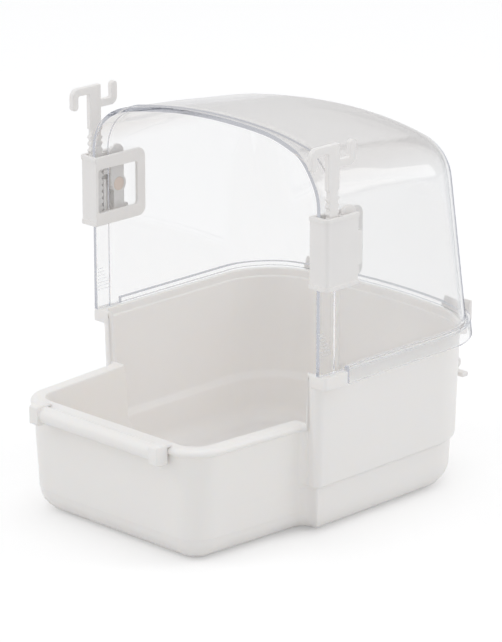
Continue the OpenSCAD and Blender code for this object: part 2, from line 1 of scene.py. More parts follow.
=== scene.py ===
"""Cage bird bath: a white tub with a perch rail, a clear hood, and two hook holders with catch levers.

Lengths are millimetres in the build frame, whose Y = 0 plane is the front face of the hook holders.
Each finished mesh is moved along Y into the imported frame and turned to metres.
"""

import logging
import math
from dataclasses import dataclass, field
from enum import Enum
from typing import ClassVar, Sequence

import bmesh
import bpy
import numpy as np
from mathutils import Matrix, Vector


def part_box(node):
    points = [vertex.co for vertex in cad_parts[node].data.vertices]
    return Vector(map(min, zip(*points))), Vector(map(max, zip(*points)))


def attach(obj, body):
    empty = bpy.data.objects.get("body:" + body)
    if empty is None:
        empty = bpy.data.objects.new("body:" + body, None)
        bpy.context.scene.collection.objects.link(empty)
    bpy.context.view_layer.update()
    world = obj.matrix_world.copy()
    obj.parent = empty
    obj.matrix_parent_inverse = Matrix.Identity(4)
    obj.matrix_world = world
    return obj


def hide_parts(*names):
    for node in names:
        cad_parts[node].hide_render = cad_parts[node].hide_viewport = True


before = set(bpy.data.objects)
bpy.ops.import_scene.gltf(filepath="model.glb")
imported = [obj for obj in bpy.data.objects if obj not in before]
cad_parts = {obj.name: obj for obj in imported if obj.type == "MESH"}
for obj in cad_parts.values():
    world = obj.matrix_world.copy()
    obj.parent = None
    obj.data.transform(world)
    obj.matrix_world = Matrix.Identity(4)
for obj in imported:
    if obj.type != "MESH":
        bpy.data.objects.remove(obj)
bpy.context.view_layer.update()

MM = 0.001
LOG = logging.getLogger("bird_bath")
Point2 = tuple[float, float]
Colour = tuple[float, float, float]


class Side(Enum):
    """The two sides of the bath, seen from the front."""

    RIGHT = 1
    LEFT = -1

    def node(self, piece: str) -> str:
        """Name of this side's node for a piece."""
        return f"{self.name.lower()}_{piece}"


class Along(Enum):
    """Direction in which a flat outline is drawn out."""

    X = "x"
    Z = "z"

    def place(self, outline: np.ndarray, depth: np.ndarray) -> np.ndarray:
        """Turn outline points and their depths into places in space.

        Args:
            outline: Points of the outline, one row each.
            depth: Distance of each point along the direction.

        Returns:
            One row of X, Y and Z for each point.
        """
        if self is Along.X:
            return np.column_stack([depth, outline[:, 0], outline[:, 1]])
        return np.column_stack([outline[:, 0], outline[:, 1], depth])


def arc(centre: Point2, radius: float, start: float, end: float, steps: int) -> list[Point2]:
    """Points on an arc.

    Args:
        centre: Middle of the arc.
        radius: Radius of the arc.
        start: First angle in degrees.
        end: Last angle in degrees.
        steps: Number of straight steps along the arc.

    Returns:
        The points, with both ends.
    """
    angles = np.radians(np.linspace(start, end, steps + 1))
    return [(centre[0] + radius * math.cos(a), centre[1] + radius * math.sin(a)) for a in angles]


def rounded(corners: Sequence[tuple[float, float, float]], steps: int = 5) -> list[Point2]:
    """Outline with a round at each corner.

    Args:
        corners: Corner points with their radius, anticlockwise.
        steps: Number of straight steps in each round.

    Returns:
        The outline's points.
    """
    points: list[Point2] = []
    for i, (u, v, radius) in enumerate(corners):
        here = Vector((u, v))
        back = (Vector(corners[i - 1][:2]) - here).normalized()
        ahead = (Vector(corners[(i + 1) % len(corners)][:2]) - here).normalized()
        half = back.angle(ahead) / 2
        if radius <= 0 or half > math.radians(89):
            points.append((u, v))
            continue
        reach = radius / math.tan(half)
        middle = here + (back + ahead).normalized() * (radius / math.sin(half))
        first = here + back * reach - middle
        last = here + ahead * reach - middle
        turn = first.angle_signed(last)
        start = math.degrees(math.atan2(first.y, first.x))
        points += arc(tuple(middle), radius, start, start - math.degrees(turn), steps)
    return points


def box_outline(u0: float, v0: float, u1: float, v1: float, radius: float, steps: int = 5) -> list[Point2]:
    """Rectangle with four round corners."""
    return rounded([(u0, v0, radius), (u1, v0, radius), (u1, v1, radius), (u0, v1, radius)], steps)


def inset(outline: np.ndarray, distance: float) -> np.ndarray:
    """Move an anticlockwise outline inwards.

    Args:
        outline: Points of the outline.
        distance: How far each side moves in.

    Returns:
        The moved points, one for each point of the outline.
    """
    ahead = np.roll(outline, -1, axis=0) - outline
    ahead /= np.linalg.norm(ahead, axis=1, keepdims=True)
    back = np.roll(ahead, 1, axis=0)
    normal = np.column_stack([-ahead[:, 1] - back[:, 1], ahead[:, 0] + back[:, 0]])
    normal /= np.maximum(np.linalg.norm(normal, axis=1, keepdims=True), 1e-9)
    facing = normal[:, 0] * -ahead[:, 1] + normal[:, 1] * ahead[:, 0]
    return outline + normal * (distance / np.maximum(facing, 0.4))[:, None]


def grid_faces(first: int, rows: int, columns: int, closed: bool) -> list[list[int]]:
    """Quads between the rows of a point grid.

    Args:
        first: Number of the grid's first point.
        rows: Number of rows.
        columns: Number of points in a row.
        closed: Whether the last column meets the first.

    Returns:
        Corner numbers of each quad.
    """
    last = columns if closed else columns - 1
    return [
        [first + i * columns + j, first + i * columns + (j + 1) % columns,
         first + (i + 1) * columns + (j + 1) % columns, first + (i + 1) * columns + j]
        for i in range(rows - 1) for j in range(last)
    ]


def smooth_step(value: np.ndarray) -> np.ndarray:
    """Ease from 0 to 1 without a corner."""
    held = np.clip(value, 0, 1)
    return held * held * (3 - 2 * held)


@dataclass
class Prism:
    """Solid drawn out from a flat outline, with rounded ends.

    Attributes:
        outline: Anticlockwise outline.
        start: Where it begins along its direction.
        end: Where it stops along its direction.
        soften: Radius of the rounded end edges.
        holes: Anticlockwise outlines of holes right through it.
        along: Direction in which it is drawn out.
    """

    outline: Sequence[Point2]
    start: float
    end: float
    soften: float = 0.25
    holes: Sequence[Sequence[Point2]] = ()
    along: Along = Along.X

    def mesh(self) -> bmesh.types.BMesh:
        """Build the solid.

        Returns:
            A closed mesh in millimetres.
        """
        bm = bmesh.new()
        caps: dict[float, list[bmesh.types.BMEdge]] = {self.start: [], self.end: []}
        for loop, inward in [(self.outline, 1), *((hole, -1) for hole in self.holes)]:
            points = np.array(loop, dtype=float)
            rows = []
            for depth, share in self.ends():
                ring = inset(points, inward * self.soften * share)
                places = self.along.place(ring, np.full(len(ring), depth))
                rows.append([bm.verts.new(p) for p in places])
            for low, high in zip(rows, rows[1:]):
                for j in range(len(low)):
                    k = (j + 1) % len(low)
                    bm.faces.new((low[j], low[k], high[k], high[j]))
            for depth, row in ((self.start, rows[0]), (self.end, rows[-1])):
                caps[depth] += [bm.edges.get((row[j - 1], row[j])) for j in range(len(row))]
        for edges in caps.values():
            bmesh.ops.triangle_fill(bm, edges=edges, use_beauty=True, use_dissolve=False)
        bmesh.ops.recalc_face_normals(bm, faces=bm.faces)
        return bm

    def solid(self) -> "Solid":
        """The prism as a working solid."""
        return Solid(self.mesh())

    def ends(self) -> list[tuple[float, float]]:
        """Depth and inset share of each ring from one rounded end to the other."""
        turns = [0, 30, 60, 90]
        low = [(self.start + self.soften * (1 - math.cos(math.radians(t))), 1 - math.sin(math.radians(t)))
               for t in turns]
        high = [(self.start + self.end - depth, share) for depth, share in reversed(low)]
        return low + high


def placed(name: str, data: bpy.types.ID) -> bpy.types.Object:
    """Put an object with this data into the scene."""
    made = bpy.data.objects.new(name, data)
    bpy.context.collection.objects.link(made)
    return made


def soften_edges(piece: bpy.types.Object, name: str, width: float, angle: float) -> None:
    """Round off a piece's sharp edges.

    Args:
        piece: The piece.
        name: Name of the modifier.
        width: Width of the round in millimetres.
        angle: Angle in degrees from which an edge counts as sharp.
    """
    bevel = piece.modifiers.new(name, "BEVEL")
    bevel.width = width * MM
    bevel.segments = 2
    bevel.limit_method = "ANGLE"
    bevel.angle_limit = math.radians(angle)


class Solid:
    """A mesh in millimetres that can be joined with others, cut, and set into the frame."""

    def __init__(self, bm: bmesh.types.BMesh) -> None:
        """Keep a mesh as a working object.

        Args:
            bm: The mesh, which is used up.
        """
        mesh = bpy.data.meshes.new("solid")
        bm.to_mesh(mesh)
        bm.free()
        self.object = placed("solid", mesh)

    @classmethod
    def from_points(cls, points: np.ndarray, faces: list[list[int]]) -> "Solid":
        """Make a solid from points and faces.

        Args:
            points: One row of X, Y and Z for each point.
            faces: Corner numbers of each face.

        Returns:
            The solid, with its faces turned outwards.
        """
        bm = bmesh.new()
        verts = [bm.verts.new(p) for p in points]
        for face in faces:
            corners = [verts[i] for i in dict.fromkeys(face)]
            if len(corners) > 2:
                bm.faces.new(corners)
        bmesh.ops.remove_doubles(bm, verts=bm.verts, dist=1e-4)
        bmesh.ops.recalc_face_normals(bm, faces=bm.faces)
        return cls(bm)

    def combine(self, other: "Solid", operation: str) -> "Solid":
        """Join another solid on, or cut with it.

        Args:
            other: The other solid, which is used up.
            operation: UNION or DIFFERENCE.

        Returns:
            This solid.
        """
        modifier = self.object.modifiers.new("combine", "BOOLEAN")
        modifier.operation = operation
        modifier.solver = "EXACT"
        modifier.object = other.object
        graph = bpy.context.evaluated_depsgraph_get()
        result = bpy.data.meshes.new_from_object(self.object.evaluated_get(graph))
        self.object.modifiers.clear()
        self.object.data = result
        bpy.data.objects.remove(other.object)
        return self

    def join(self, *others: "Solid") -> "Solid":
        """Join other solids on."""
        for other in others:
            self.combine(other, "UNION")
        return self

    def cut(self, *others: "Solid") -> "Solid":
        """Cut other solids away."""
        for other in others:
            self.combine(other, "DIFFERENCE")
        return self

    def mirrored(self) -> "Solid":
        """Copy the solid to the other side of the bath.

        Returns:
            The mirrored copy.
        """
        bm = bmesh.new()
        bm.from_mesh(self.object.data)
        for vert in bm.verts:
            vert.co.x = -vert.co.x
        bmesh.ops.reverse_faces(bm, faces=bm.faces)
        return Solid(bm)

    def join_pair(self, part: "Solid") -> "Solid":
        """Join a solid on at both sides of the bath."""
        return self.join(part.mirrored(), part)

    def close(self) -> "Solid":
        """Fill the small triangles that a boolean leaves open at flat faces."""
        bm = bmesh.new()
        bm.from_mesh(self.object.data)
        bmesh.ops.holes_fill(bm, edges=[edge for edge in bm.edges if edge.is_boundary], sides=0)
        bmesh.ops.recalc_face_normals(bm, faces=bm.faces)
        bm.to_mesh(self.object.data)
        bm.free()
        return self

    def settle(self, name: str, shift: float, side: Side, sharp: float) -> bpy.types.Object:
        """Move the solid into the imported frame.

        Args:
            name: Name of the finished piece.
            shift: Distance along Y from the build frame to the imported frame.
            side: Side of the bath, the left one being mirrored.
            sharp: Angle in degrees from which an edge stays sharp.

        Returns:
            The piece, in metres.
        """
        bm = bmesh.new()
        bm.from_mesh(self.object.data)
        for vert in bm.verts:
            vert.co = Vector((side.value * vert.co.x, vert.co.y + shift, vert.co.z)) * MM
        if side is Side.LEFT:
            bmesh.ops.reverse_faces(bm, faces=bm.faces)
        for face in bm.faces:
            face.smooth = True
        mesh = bpy.data.meshes.new(name)
        bm.to_mesh(mesh)
        bm.free()
        mesh.set_sharp_from_angle(angle=math.radians(sharp))
        piece = placed(name, mesh)
        bpy.data.objects.remove(self.object)
        weighted = piece.modifiers.new("face_weight", "WEIGHTED_NORMAL")
        weighted.keep_sharp = True
        return piece


def math_node(tree: bpy.types.NodeTree, operation: str, *values: bpy.types.NodeSocket | float,
              clamp: bool = False) -> bpy.types.NodeSocket:
    """Add a math node.

    Args:
        tree: Node tree that it goes into.
        operation: What it works out.
        values: Sockets or numbers for its inputs.
        clamp: Whether the result is held between 0 and 1.

    Returns:
        Socket of the result.
    """
    node = tree.nodes.new("ShaderNodeMath")
    node.operation = operation
    node.use_clamp = clamp
    for target, value in zip(node.inputs, values):
        if isinstance(value, bpy.types.NodeSocket):
            tree.links.new(value, target)
        else:
            target.default_value = value
    return node.outputs[0]


def mix_shaders(tree: bpy.types.NodeTree, share: bpy.types.NodeSocket, first: bpy.types.NodeSocket,
                second: bpy.types.NodeSocket) -> bpy.types.NodeSocket:
    """Mix two shaders by a share.

    Args:
        tree: Node tree that the mix goes into.
        share: Socket of the second shader's share.
        first: Socket of the first shader.
        second: Socket of the second shader.

    Returns:
        Socket of the mixed shader.
    """
    mix = tree.nodes.new("ShaderNodeMixShader")
    for target, source in zip(mix.inputs, (share, first, second)):
        tree.links.new(source, target)
    return mix.outputs["Shader"]


def new_material(name: str) -> tuple[bpy.types.Material, bpy.types.NodeTree, bpy.types.Node]:
    """Start a material.

    Args:
        name: Name of the material.

    Returns:
        The material, its node tree and its Principled node.
    """
    material = bpy.data.materials.new(name)
    material.use_nodes = True
    return material, material.node_tree, material.node_tree.nodes["Principled BSDF"]


def add_grain(tree: bpy.types.NodeTree, height: bpy.types.NodeSocket, strength: float, depth: float) -> None:
    """Bump a material's surface with a fine grain.

    Args:
        tree: Node tree of the material.
        height: Socket of the grain's height.
        strength: Strength of the bump.
        depth: Height of the grain in metres.
    """
    bump = tree.nodes.new("ShaderNodeBump")
    bump.inputs["Strength"].default_value = strength
    bump.inputs["Distance"].default_value = depth
    tree.links.new(height, bump.inputs["Height"])
    tree.links.new(bump.outputs["Normal"], tree.nodes["Principled BSDF"].inputs["Normal"])


class GroupTree:
    """A shader node group under construction."""

    def __init__(self, name: str) -> None:
        """Start an empty group.

        Args:
            name: Name of the group.
        """
        self.tree = bpy.data.node_groups.new(name, "ShaderNodeTree")
        self.inputs = self.tree.nodes.new("NodeGroupInput")
        self.outputs = self.tree.nodes.new("NodeGroupOutput")

    def socket(self, name: str, kind: str, into: bool) -> None:
        """Add a named input or output socket."""
        self.tree.interface.new_socket(name, in_out="INPUT" if into else "OUTPUT", socket_type=kind)

    def node(self, kind: str, **settings: object) -> bpy.types.Node:
        """Add a node.

        Args:
            kind: Type of the node.
            settings: Properties to set on it.

        Returns:
            The node.
        """
        node = self.tree.nodes.new(kind)
        for key, value in settings.items():
            setattr(node, key, value)
        return node

    def link(self, source: bpy.types.NodeSocket, target: bpy.types.NodeSocket) -> None:
        """Join two sockets."""
        self.tree.links.new(source, target)

    def noise(self, scale: bpy.types.NodeSocket | float, detail: float) -> bpy.types.NodeSocket:
        """Add noise that is fixed to the piece.

        Args:
            scale: Socket or number for the noise's scale.
            detail: Number of finer layers.

        Returns:
            The noise's value socket.
        """
        place = self.node("ShaderNodeTexCoord")
        noise = self.node("ShaderNodeTexNoise")
        noise.inputs["Detail"].default_value = detail
        self.link(place.outputs["Object"], noise.inputs["Vector"])
        if isinstance(scale, float):
            noise.inputs["Scale"].default_value = scale
        else:
            self.link(scale, noise.inputs["Scale"])
        return noise.outputs["Fac"]

    def spread(self, value: bpy.types.NodeSocket, middle: bpy.types.NodeSocket,
               amount: bpy.types.NodeSocket) -> bpy.types.NodeSocket:
        """Turn noise round one half into a value round a middle.

        Args:
            value: The noise.
            middle: Socket of the middle value.
            amount: Socket of the spread.

        Returns:
            Socket of the new value.
        """
        centred = math_node(self.tree, "SUBTRACT", value, 0.5)
        return math_node(self.tree, "MULTIPLY_ADD", centred, amount, middle)


def moulded_skin() -> bpy.types.NodeTree:
    """Group for the skin of moulded plastic: soft clouds of shade, uneven gloss and a fine grain.

    Returns:
        The group, with colour, roughness and height outputs.
    """
    group = GroupTree("moulded_skin")
    for name in ("Colour", "Shade"):
        group.socket(name, "NodeSocketColor", True)
    for name in ("Cloud Scale", "Roughness", "Gloss Spread", "Grain Scale"):
        group.socket(name, "NodeSocketFloat", True)
    group.socket("Colour", "NodeSocketColor", False)
    group.socket("Roughness", "NodeSocketFloat", False)
    group.socket("Height", "NodeSocketFloat", False)
    clouds = group.noise(group.inputs.outputs["Cloud Scale"], 3.0)
    mix = group.node("ShaderNodeMix", data_type="RGBA")
    group.link(clouds, mix.inputs["Factor"])
    group.link(group.inputs.outputs["Colour"], mix.inputs["A"])
    group.link(group.inputs.outputs["Shade"], mix.inputs["B"])
    group.link(mix.outputs["Result"], group.outputs.inputs["Colour"])
    gloss = group.spread(clouds, group.inputs.outputs["Roughness"], group.inputs.outputs["Gloss Spread"])
    group.link(gloss, group.outputs.inputs["Roughness"])
    grain = group.noise(group.inputs.outputs["Grain Scale"], 4.0)
    group.link(grain, group.outputs.inputs["Height"])
    return group.tree


def handled_edges() -> bpy.types.NodeTree:
    """Group for faint scuffs where hands and bars rub the plastic.

    Returns:
        The group, with a mask output that is 1 on a scuff.
    """
    group = GroupTree("handled_edges")
    for name in ("Scale", "Cover"):
        group.socket(name, "NodeSocketFloat", True)
    group.socket("Mask", "NodeSocketFloat", False)
    place = group.node("ShaderNodeTexCoord")
    stretch = group.node("ShaderNodeMapping")
    stretch.inputs["Scale"].default_value = (1, 1, 9)
    group.link(place.outputs["Object"], stretch.inputs["Vector"])
    noise = group.node("ShaderNodeTexNoise")
    noise.inputs["Detail"].default_value = 6
    group.link(stretch.outputs["Vector"], noise.inputs["Vector"])
    group.link(group.inputs.outputs["Scale"], noise.inputs["Scale"])
    ramp = group.node("ShaderNodeMapRange")
    ramp.inputs["From Min"].default_value = 0.62
    ramp.inputs["From Max"].default_value = 0.75
    group.link(noise.outputs["Fac"], ramp.inputs["Value"])
    cover = math_node(group.tree, "MULTIPLY", ramp.outputs["Result"], group.inputs.outputs["Cover"])
    group.link(cover, group.outputs.inputs["Mask"])
    return group.tree


def height_mask() -> bpy.types.NodeTree:
    """Group for a mask that comes in with height on the piece.

    Returns:
        The group, with a mask output that is 1 above the rise.
    """
    group = GroupTree("height_mask")
    for name in ("Low", "Rise"):
        group.socket(name, "NodeSocketFloat", True)
    group.socket("Mask", "NodeSocketFloat", False)
    place = group.node("ShaderNodeTexCoord")
    split = group.node("ShaderNodeSeparateXYZ")
    group.link(place.outputs["Object"], split.inputs["Vector"])
    above = math_node(group.tree, "SUBTRACT", split.outputs["Z"], group.inputs.outputs["Low"])
    share = math_node(group.tree, "DIVIDE", above, group.inputs.outputs["Rise"], clamp=True)
    group.link(share, group.outputs.inputs["Mask"])
    return group.tree


@dataclass
class NodeGroups:
    """Shader node groups that several finishes share.

    Attributes:
        skin: Skin of moulded plastic.
        scuffs: Faint scuffs from handling.
        height: Mask that comes in with height.
    """

    skin: bpy.types.NodeTree = field(default_factory=moulded_skin)
    scuffs: bpy.types.NodeTree = field(default_factory=handled_edges)
    height: bpy.types.NodeTree = field(default_factory=height_mask)


def place_group(tree: bpy.types.NodeTree, group: bpy.types.NodeTree, **values: object) -> bpy.types.Node:
    """Place a node group in a material.

    Args:
        tree: The material's node tree.
        group: The group.
        values: Input values, with underscores for the spaces in their names.

    Returns:
        The group node.
    """
    node = tree.nodes.new("ShaderNodeGroup")
    node.node_tree = group
    for key, value in values.items():
        node.inputs[key.replace("_", " ")].default_value = value
    return node


@dataclass(frozen=True)
class WhitePlastic:
    """Opaque moulded plastic.

    Attributes:
        name: Name of the material.
        slot: Slot of the record it stands for; not used.
        colour: Main colour, linear.
        shade: Second colour of the soft clouds.
        roughness: Middle of the roughness.
        gloss_spread: How much the roughness varies.
        cloud_scale: Scale of the soft clouds.
        grain_scale: Scale of the fine grain.
        grain_depth: Height of the fine grain in metres.
        grain_strength: Strength of the fine grain.
        scuff_scale: Scale of the scuffs.
        scuff_cover: Strength of the scuffs.
        scuff_rough: Roughness that a full scuff adds.
        ior: Index of refraction.
        glow: Share of the light that wanders below the surface.
        glow_colour: How far each colour of it wanders.
        glow_reach: Longest way that it wanders in metres.
    """

    name: str
    slot: str
    colour: Colour
    shade: Colour
    roughness: float = 0.36
    gloss_spread: float = 0.12
    cloud_scale: float = 26
    grain_scale: float = 1500
    grain_depth: float = 0.00002
    grain_strength: float = 0.35
    scuff_scale: float = 160
    scuff_cover: float = 0.25
    scuff_rough: float = 0.2
    ior: float = 1.49
    glow: float = 0.4
    glow_colour: Colour = (1.0, 0.88, 0.76)
    glow_reach: float = 0.005

    def build(self, groups: NodeGroups) -> bpy.types.Material:
        """Make the material.

        Args:
            groups: The shared node groups.

        Returns:
            The material.
        """
        material, tree, shader = new_material(self.name)
        skin = place_group(tree, groups.skin, Colour=(*self.colour, 1), Shade=(*self.shade, 1),
                           Cloud_Scale=self.cloud_scale, Roughness=self.roughness,
                           Gloss_Spread=self.gloss_spread, Grain_Scale=self.grain_scale)
        scuffs = place_group(tree, groups.scuffs, Scale=self.scuff_scale, Cover=self.scuff_cover)
        rough = math_node(tree, "MULTIPLY_ADD", scuffs.outputs["Mask"], self.scuff_rough,
                          skin.outputs["Roughness"])
        tree.links.new(rough, shader.inputs["Roughness"])
        tree.links.new(skin.outputs["Colour"], shader.inputs["Base Color"])
        add_grain(tree, skin.outputs["Height"], self.grain_strength, self.grain_depth)
        shader.inputs["IOR"].default_value = self.ior
        shader.inputs["Subsurface Weight"].default_value = self.glow
        shader.inputs["Subsurface Radius"].default_value = self.glow_colour
        shader.inputs["Subsurface Scale"].default_value = self.glow_reach
        return material


# The hood's finish paints light and shade: a darker roof, a dark outline on faces seen edge on, and a glow in
# deep bounces.
@dataclass(frozen=True)
class ClearPlastic:
    """Clear moulded plastic of the hood.

    Attributes:
        name: Name of the material.
        slot: Slot of the record it stands for; not used.
        tint: Colour of light through a wall, linear.
        roof_painted_shade: Painted shade on the roof, a darker and warmer colour of light through it, linear.
        roof_z: Height in metres at which the painted roof shade begins.
        roof_rise: Height in metres over which it comes in.
        edge: Colour of the painted glow inside an edge and of the painted dark outline, linear.
        painted_glow: Number of bounces after which the glass shows the painted glow in place of light trapped
            in it.
        turn: Turn away from the eye at which a wall's painted dark outline begins.
        roof_turn: The same for the roof.
        edge_on: Turn at which the painted outline is full.
        roughness: Middle of the roughness.
        gloss_spread: How much the roughness varies.
        cloud_scale: Scale of the uneven gloss.
        grain_scale: Scale of the fine grain.
        grain_depth: Height of the fine grain in metres.
        grain_strength: Strength of the fine grain.
        ior: Index of refraction.
        passing: Colour of light that falls through on other pieces.
    """

    name: str
    slot: str
    tint: Colour = (0.92, 0.921, 0.922)
    roof_painted_shade: Colour = (0.84, 0.822, 0.81)
    roof_z: float = 0.139
    roof_rise: float = 0.012
    edge: Colour = (0.55, 0.565, 0.61)
    painted_glow: float = 4.5
    turn: float = 0.72
    roof_turn: float = 0.94
    edge_on: float = 0.985
    roughness: float = 0.03
    gloss_spread: float = 0.03
    cloud_scale: float = 14
    grain_scale: float = 260
    grain_depth: float = 0.00005
    grain_strength: float = 0.05
    ior: float = 1.5
    passing: Colour = (0.95, 0.95, 0.95)

    def build(self, groups: NodeGroups) -> bpy.types.Material:
        """Make the material.

        Args:
            groups: The shared node groups.

        Returns:
            The material.
        """
        material, tree, shader = new_material(self.name)
        # Painted shade: from roof_z upwards the light through the hood takes the darker, warmer roof colour.
        roof = place_group(tree, groups.height, Low=self.roof_z, Rise=self.roof_rise)
        tint = tree.nodes.new("ShaderNodeMix")
        tint.data_type = "RGBA"
        tint.inputs["A"].default_value = (*self.tint, 1)
        tint.inputs["B"].default_value = (*self.roof_painted_shade, 1)
        tree.links.new(roof.outputs["Mask"], tint.inputs["Factor"])
        tree.links.new(tint.outputs["Result"], shader.inputs["Base Color"])
        skin = place_group(tree, groups.skin, Cloud_Scale=self.cloud_scale, Roughness=self.roughness,
                           Gloss_Spread=self.gloss_spread, Grain_Scale=self.grain_scale)
        tree.links.new(skin.outputs["Roughness"], shader.inputs["Roughness"])
        add_grain(tree, skin.outputs["Height"], self.grain_strength, self.grain_depth)
        shader.inputs["Transmission Weight"].default_value = 1
        shader.inputs["IOR"].default_value = self.ior
        path = tree.nodes.new("ShaderNodeLightPath").outputs
        # Painted glow: rays past the bounce limit show a flat emission in the edge colour, in place of light
        # trapped in the glass.
        deep = math_node(tree, "GREATER_THAN", path["Ray Depth"], self.painted_glow)
        soft = math_node(tree, "MAXIMUM", path["Is Shadow Ray"], path["Diffuse Depth"])
        painted_glow = self.plain(tree, "ShaderNodeEmission", self.edge)
        # Painted dark outline: faces seen edge on pass light dimmed to the edge colour.
        rim = self.plain(tree, "ShaderNodeBsdfTransparent", self.edge)
        passing = self.plain(tree, "ShaderNodeBsdfTransparent", self.passing)
        held = mix_shaders(tree, deep, shader.outputs["BSDF"], painted_glow)
        lined = mix_shaders(tree, self.outline(tree, roof.outputs["Mask"]), held, rim)
        whole = mix_shaders(tree, soft, lined, passing)
        tree.links.new(whole, tree.nodes["Material Output"].inputs["Surface"])
        return material

    def outline(self, tree: bpy.types.NodeTree, roof: bpy.types.NodeSocket) -> bpy.types.NodeSocket:
        """Mask of faces seen edge on, narrower on the roof.

        Args:
            tree: Node tree of the material.
            roof: Mask of the roof.

        Returns:
            Socket that is 1 where a face turns away, for the painted dark outline.
        """
        weight = tree.nodes.new("ShaderNodeLayerWeight")
        weight.inputs["Blend"].default_value = 0.5
        start = math_node(tree, "MULTIPLY_ADD", roof, self.roof_turn - self.turn, self.turn)
        shape = tree.nodes.new("ShaderNodeMapRange")
        shape.interpolation_type = "SMOOTHSTEP"
        shape.inputs["From Max"].default_value = self.edge_on
        tree.links.new(weight.outputs["Facing"], shape.inputs["Value"])
        tree.links.new(start, shape.inputs["From Min"])
        return shape.outputs["Result"]

    @staticmethod
    def plain(tree: bpy.types.NodeTree, kind: str, colour: Colour) -> bpy.types.NodeSocket:
        """Add a shader that has only a colour."""
        shader = tree.nodes.new(kind)
        shader.inputs["Color"].default_value = (*colour, 1)
        return shader.outputs[0]


@dataclass
class Finishes:
    """All finishes of the bath, built once.

    Attributes:
        groups: The shared node groups.
        made: Material of each finish used so far, by the finish's name.
    """

    groups: NodeGroups = field(default_factory=NodeGroups)
    made: dict[str, bpy.types.Material] = field(default_factory=dict)

    def dress(self, piece: bpy.types.Object, finish: WhitePlastic | ClearPlastic) -> None:
        """Give a piece its material.

        Args:
            piece: The piece.
            finish: The finish, built when it is first used.
        """
        if finish.name not in self.made:
            self.made[finish.name] = finish.build(self.groups)
        piece.data.materials.clear()
        piece.data.materials.append(self.made[finish.name])


TUB_WHITE = WhitePlastic("tub_white", "white_plastic", (0.955, 0.927, 0.904), (0.935, 0.906, 0.882))
FITTING_WHITE = WhitePlastic("fitting_white", "fitting_plastic", (0.935, 0.915, 0.9), (0.91, 0.89, 0.872),
                             roughness=0.4, cloud_scale=60, glow=0.08)
PIN_BEIGE = WhitePlastic("pin_beige", "pin_plastic", (0.95, 0.8, 0.7), (0.9, 0.75, 0.65), roughness=0.45,
                         cloud_scale=120, scuff_cover=0.5, glow=0.08)
HOOD_CLEAR = ClearPlastic("hood_clear", "clear_plastic")


@dataclass
class Layout:
    """Planes and widths that several pieces share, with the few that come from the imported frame.

    Attributes:
        lip_proud: Overhang of the lips round a holder.
        sleeve_wall: Thickness of a holder's outer wall.
        hook_t: Thickness of a hook.
        hook_set: Distance of a hook from the hood's wall.
        band_t: Extra thickness of the hood's raised band.
        gap: Gap between pieces.
        hood_over: Overhang of the hood over the tub.
        shoulder_w: Width of a shoulder.
        nose_taper: Taper of the front part on each side.
        front_h: Height of the front part.
        rear_h: Height of the rear part.
        front_l: Length of the front part.
        rear_l: Length of the rear part.
        y_shoulder: Place of the shoulders along Y.
        tub_wall: Thickness of the tub's walls.
        bead_out: Reach of the bead round the front rim.
        rear_corner_r: Radius of the rear corners.
        rear_bow_r: Radius of the bowed rear wall.
        lip_out: Reach of the lip blocks beyond the tub's side.
        lip_drop: Height of the lip blocks.
        lip_l: Length of the lip blocks.
        stem_y0: Front of a hook's stem along Y.
        stem_w: Width of a hook's stem.
        lever_t: Thickness of a catch lever.
    """

    lip_proud: float = 0.4
    sleeve_wall: float = 1.3
    hook_t: float = 2.3
    hook_set: float = 1.6
    band_t: float = 0.5
    gap: float = 0.3
    hood_over: float = 1.6
    shoulder_w: float = 8.8
    nose_taper: float = 3.2
    front_h: float = 48.5
    rear_h: float = 70
    front_l: float = 56.5
    rear_l: float = 103
    y_shoulder: float = 3
    tub_wall: float = 2.2
    bead_out: float = 1.2
    rear_corner_r: float = 29
    rear_bow_r: float = 196
    lip_out: float = 3.85
    lip_drop: float = 5.5
    lip_l: float = 13.2
    stem_y0: float = 2.4
    stem_w: float = 6.3
    lever_t: float = 1.8

    def __post_init__(self) -> None:
        """Work out the shared planes from the frame and the sizes."""
        low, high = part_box("right_holder")
        self.half_span = high[0] / MM
        self.shift = low[1] / MM + self.lip_proud
        self.hx = self.half_span - self.lip_proud - self.sleeve_wall - self.gap - self.hook_t - self.hook_set
        self.xr = self.hx - self.hood_over
        self.xj = self.xr - self.shoulder_w
        self.xn = self.xj - self.nose_taper
        self.y_nose = self.y_shoulder - self.front_l
        self.y_rear = self.y_shoulder + self.rear_l
        self.corner = (self.xr - self.rear_corner_r, self.y_rear - self.rear_corner_r)
        reach = self.rear_bow_r - self.rear_corner_r
        self.bow_angle = math.degrees(math.asin(self.corner[0] / reach))
        self.bow_y = self.corner[1] - reach * math.cos(math.radians(self.bow_angle))
        self.lip_y1 = self.y_shoulder + self.lip_l

    def rear_wall(self, x: float) -> float:
        """Place of the tub's rear wall along Y, at the rim."""
        if x > self.corner[0]:
            return self.corner[1] + math.sqrt(self.rear_corner_r**2 - (x - self.corner[0]) ** 2)
        return self.bow_y + math.sqrt(self.rear_bow_r**2 - x * x)


@dataclass
class LatchHinge:
    """Place of the right rear latch's hinge, read from its pin in the frame.

    Attributes:
        plan: Shared planes and widths.
    """

    plan: Layout

    def __post_init__(self) -> None:
        """Take the hinge's place from the pin's box."""
        low, high = (np.array(corner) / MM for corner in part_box("right_latch_pin"))
        self.x, self.y, self.z = (low + high) / 2 - np.array([0, self.plan.shift, 0])
        self.radius = (high[2] - low[2]) / 2


@dataclass(frozen=True)
class Tag:
    """Names and finish of a piece; a piece that stands on both sides has its side put before each name.

    Attributes:
        name: Name of the finished piece.
        body: Body that it rides on.
        node: Node that it stands for.
        finish: Its finish.
        sharp: Angle in degrees from which an edge stays sharp.
        soften: Width of the round on its sharp edges, if any.
        soften_from: Angle in degrees from which an edge is rounded.
    """

    name: str
    body: str
    node: str
    finish: WhitePlastic | ClearPlastic
    sharp: float = 38
    soften: float = 0
    soften_from: float = 60


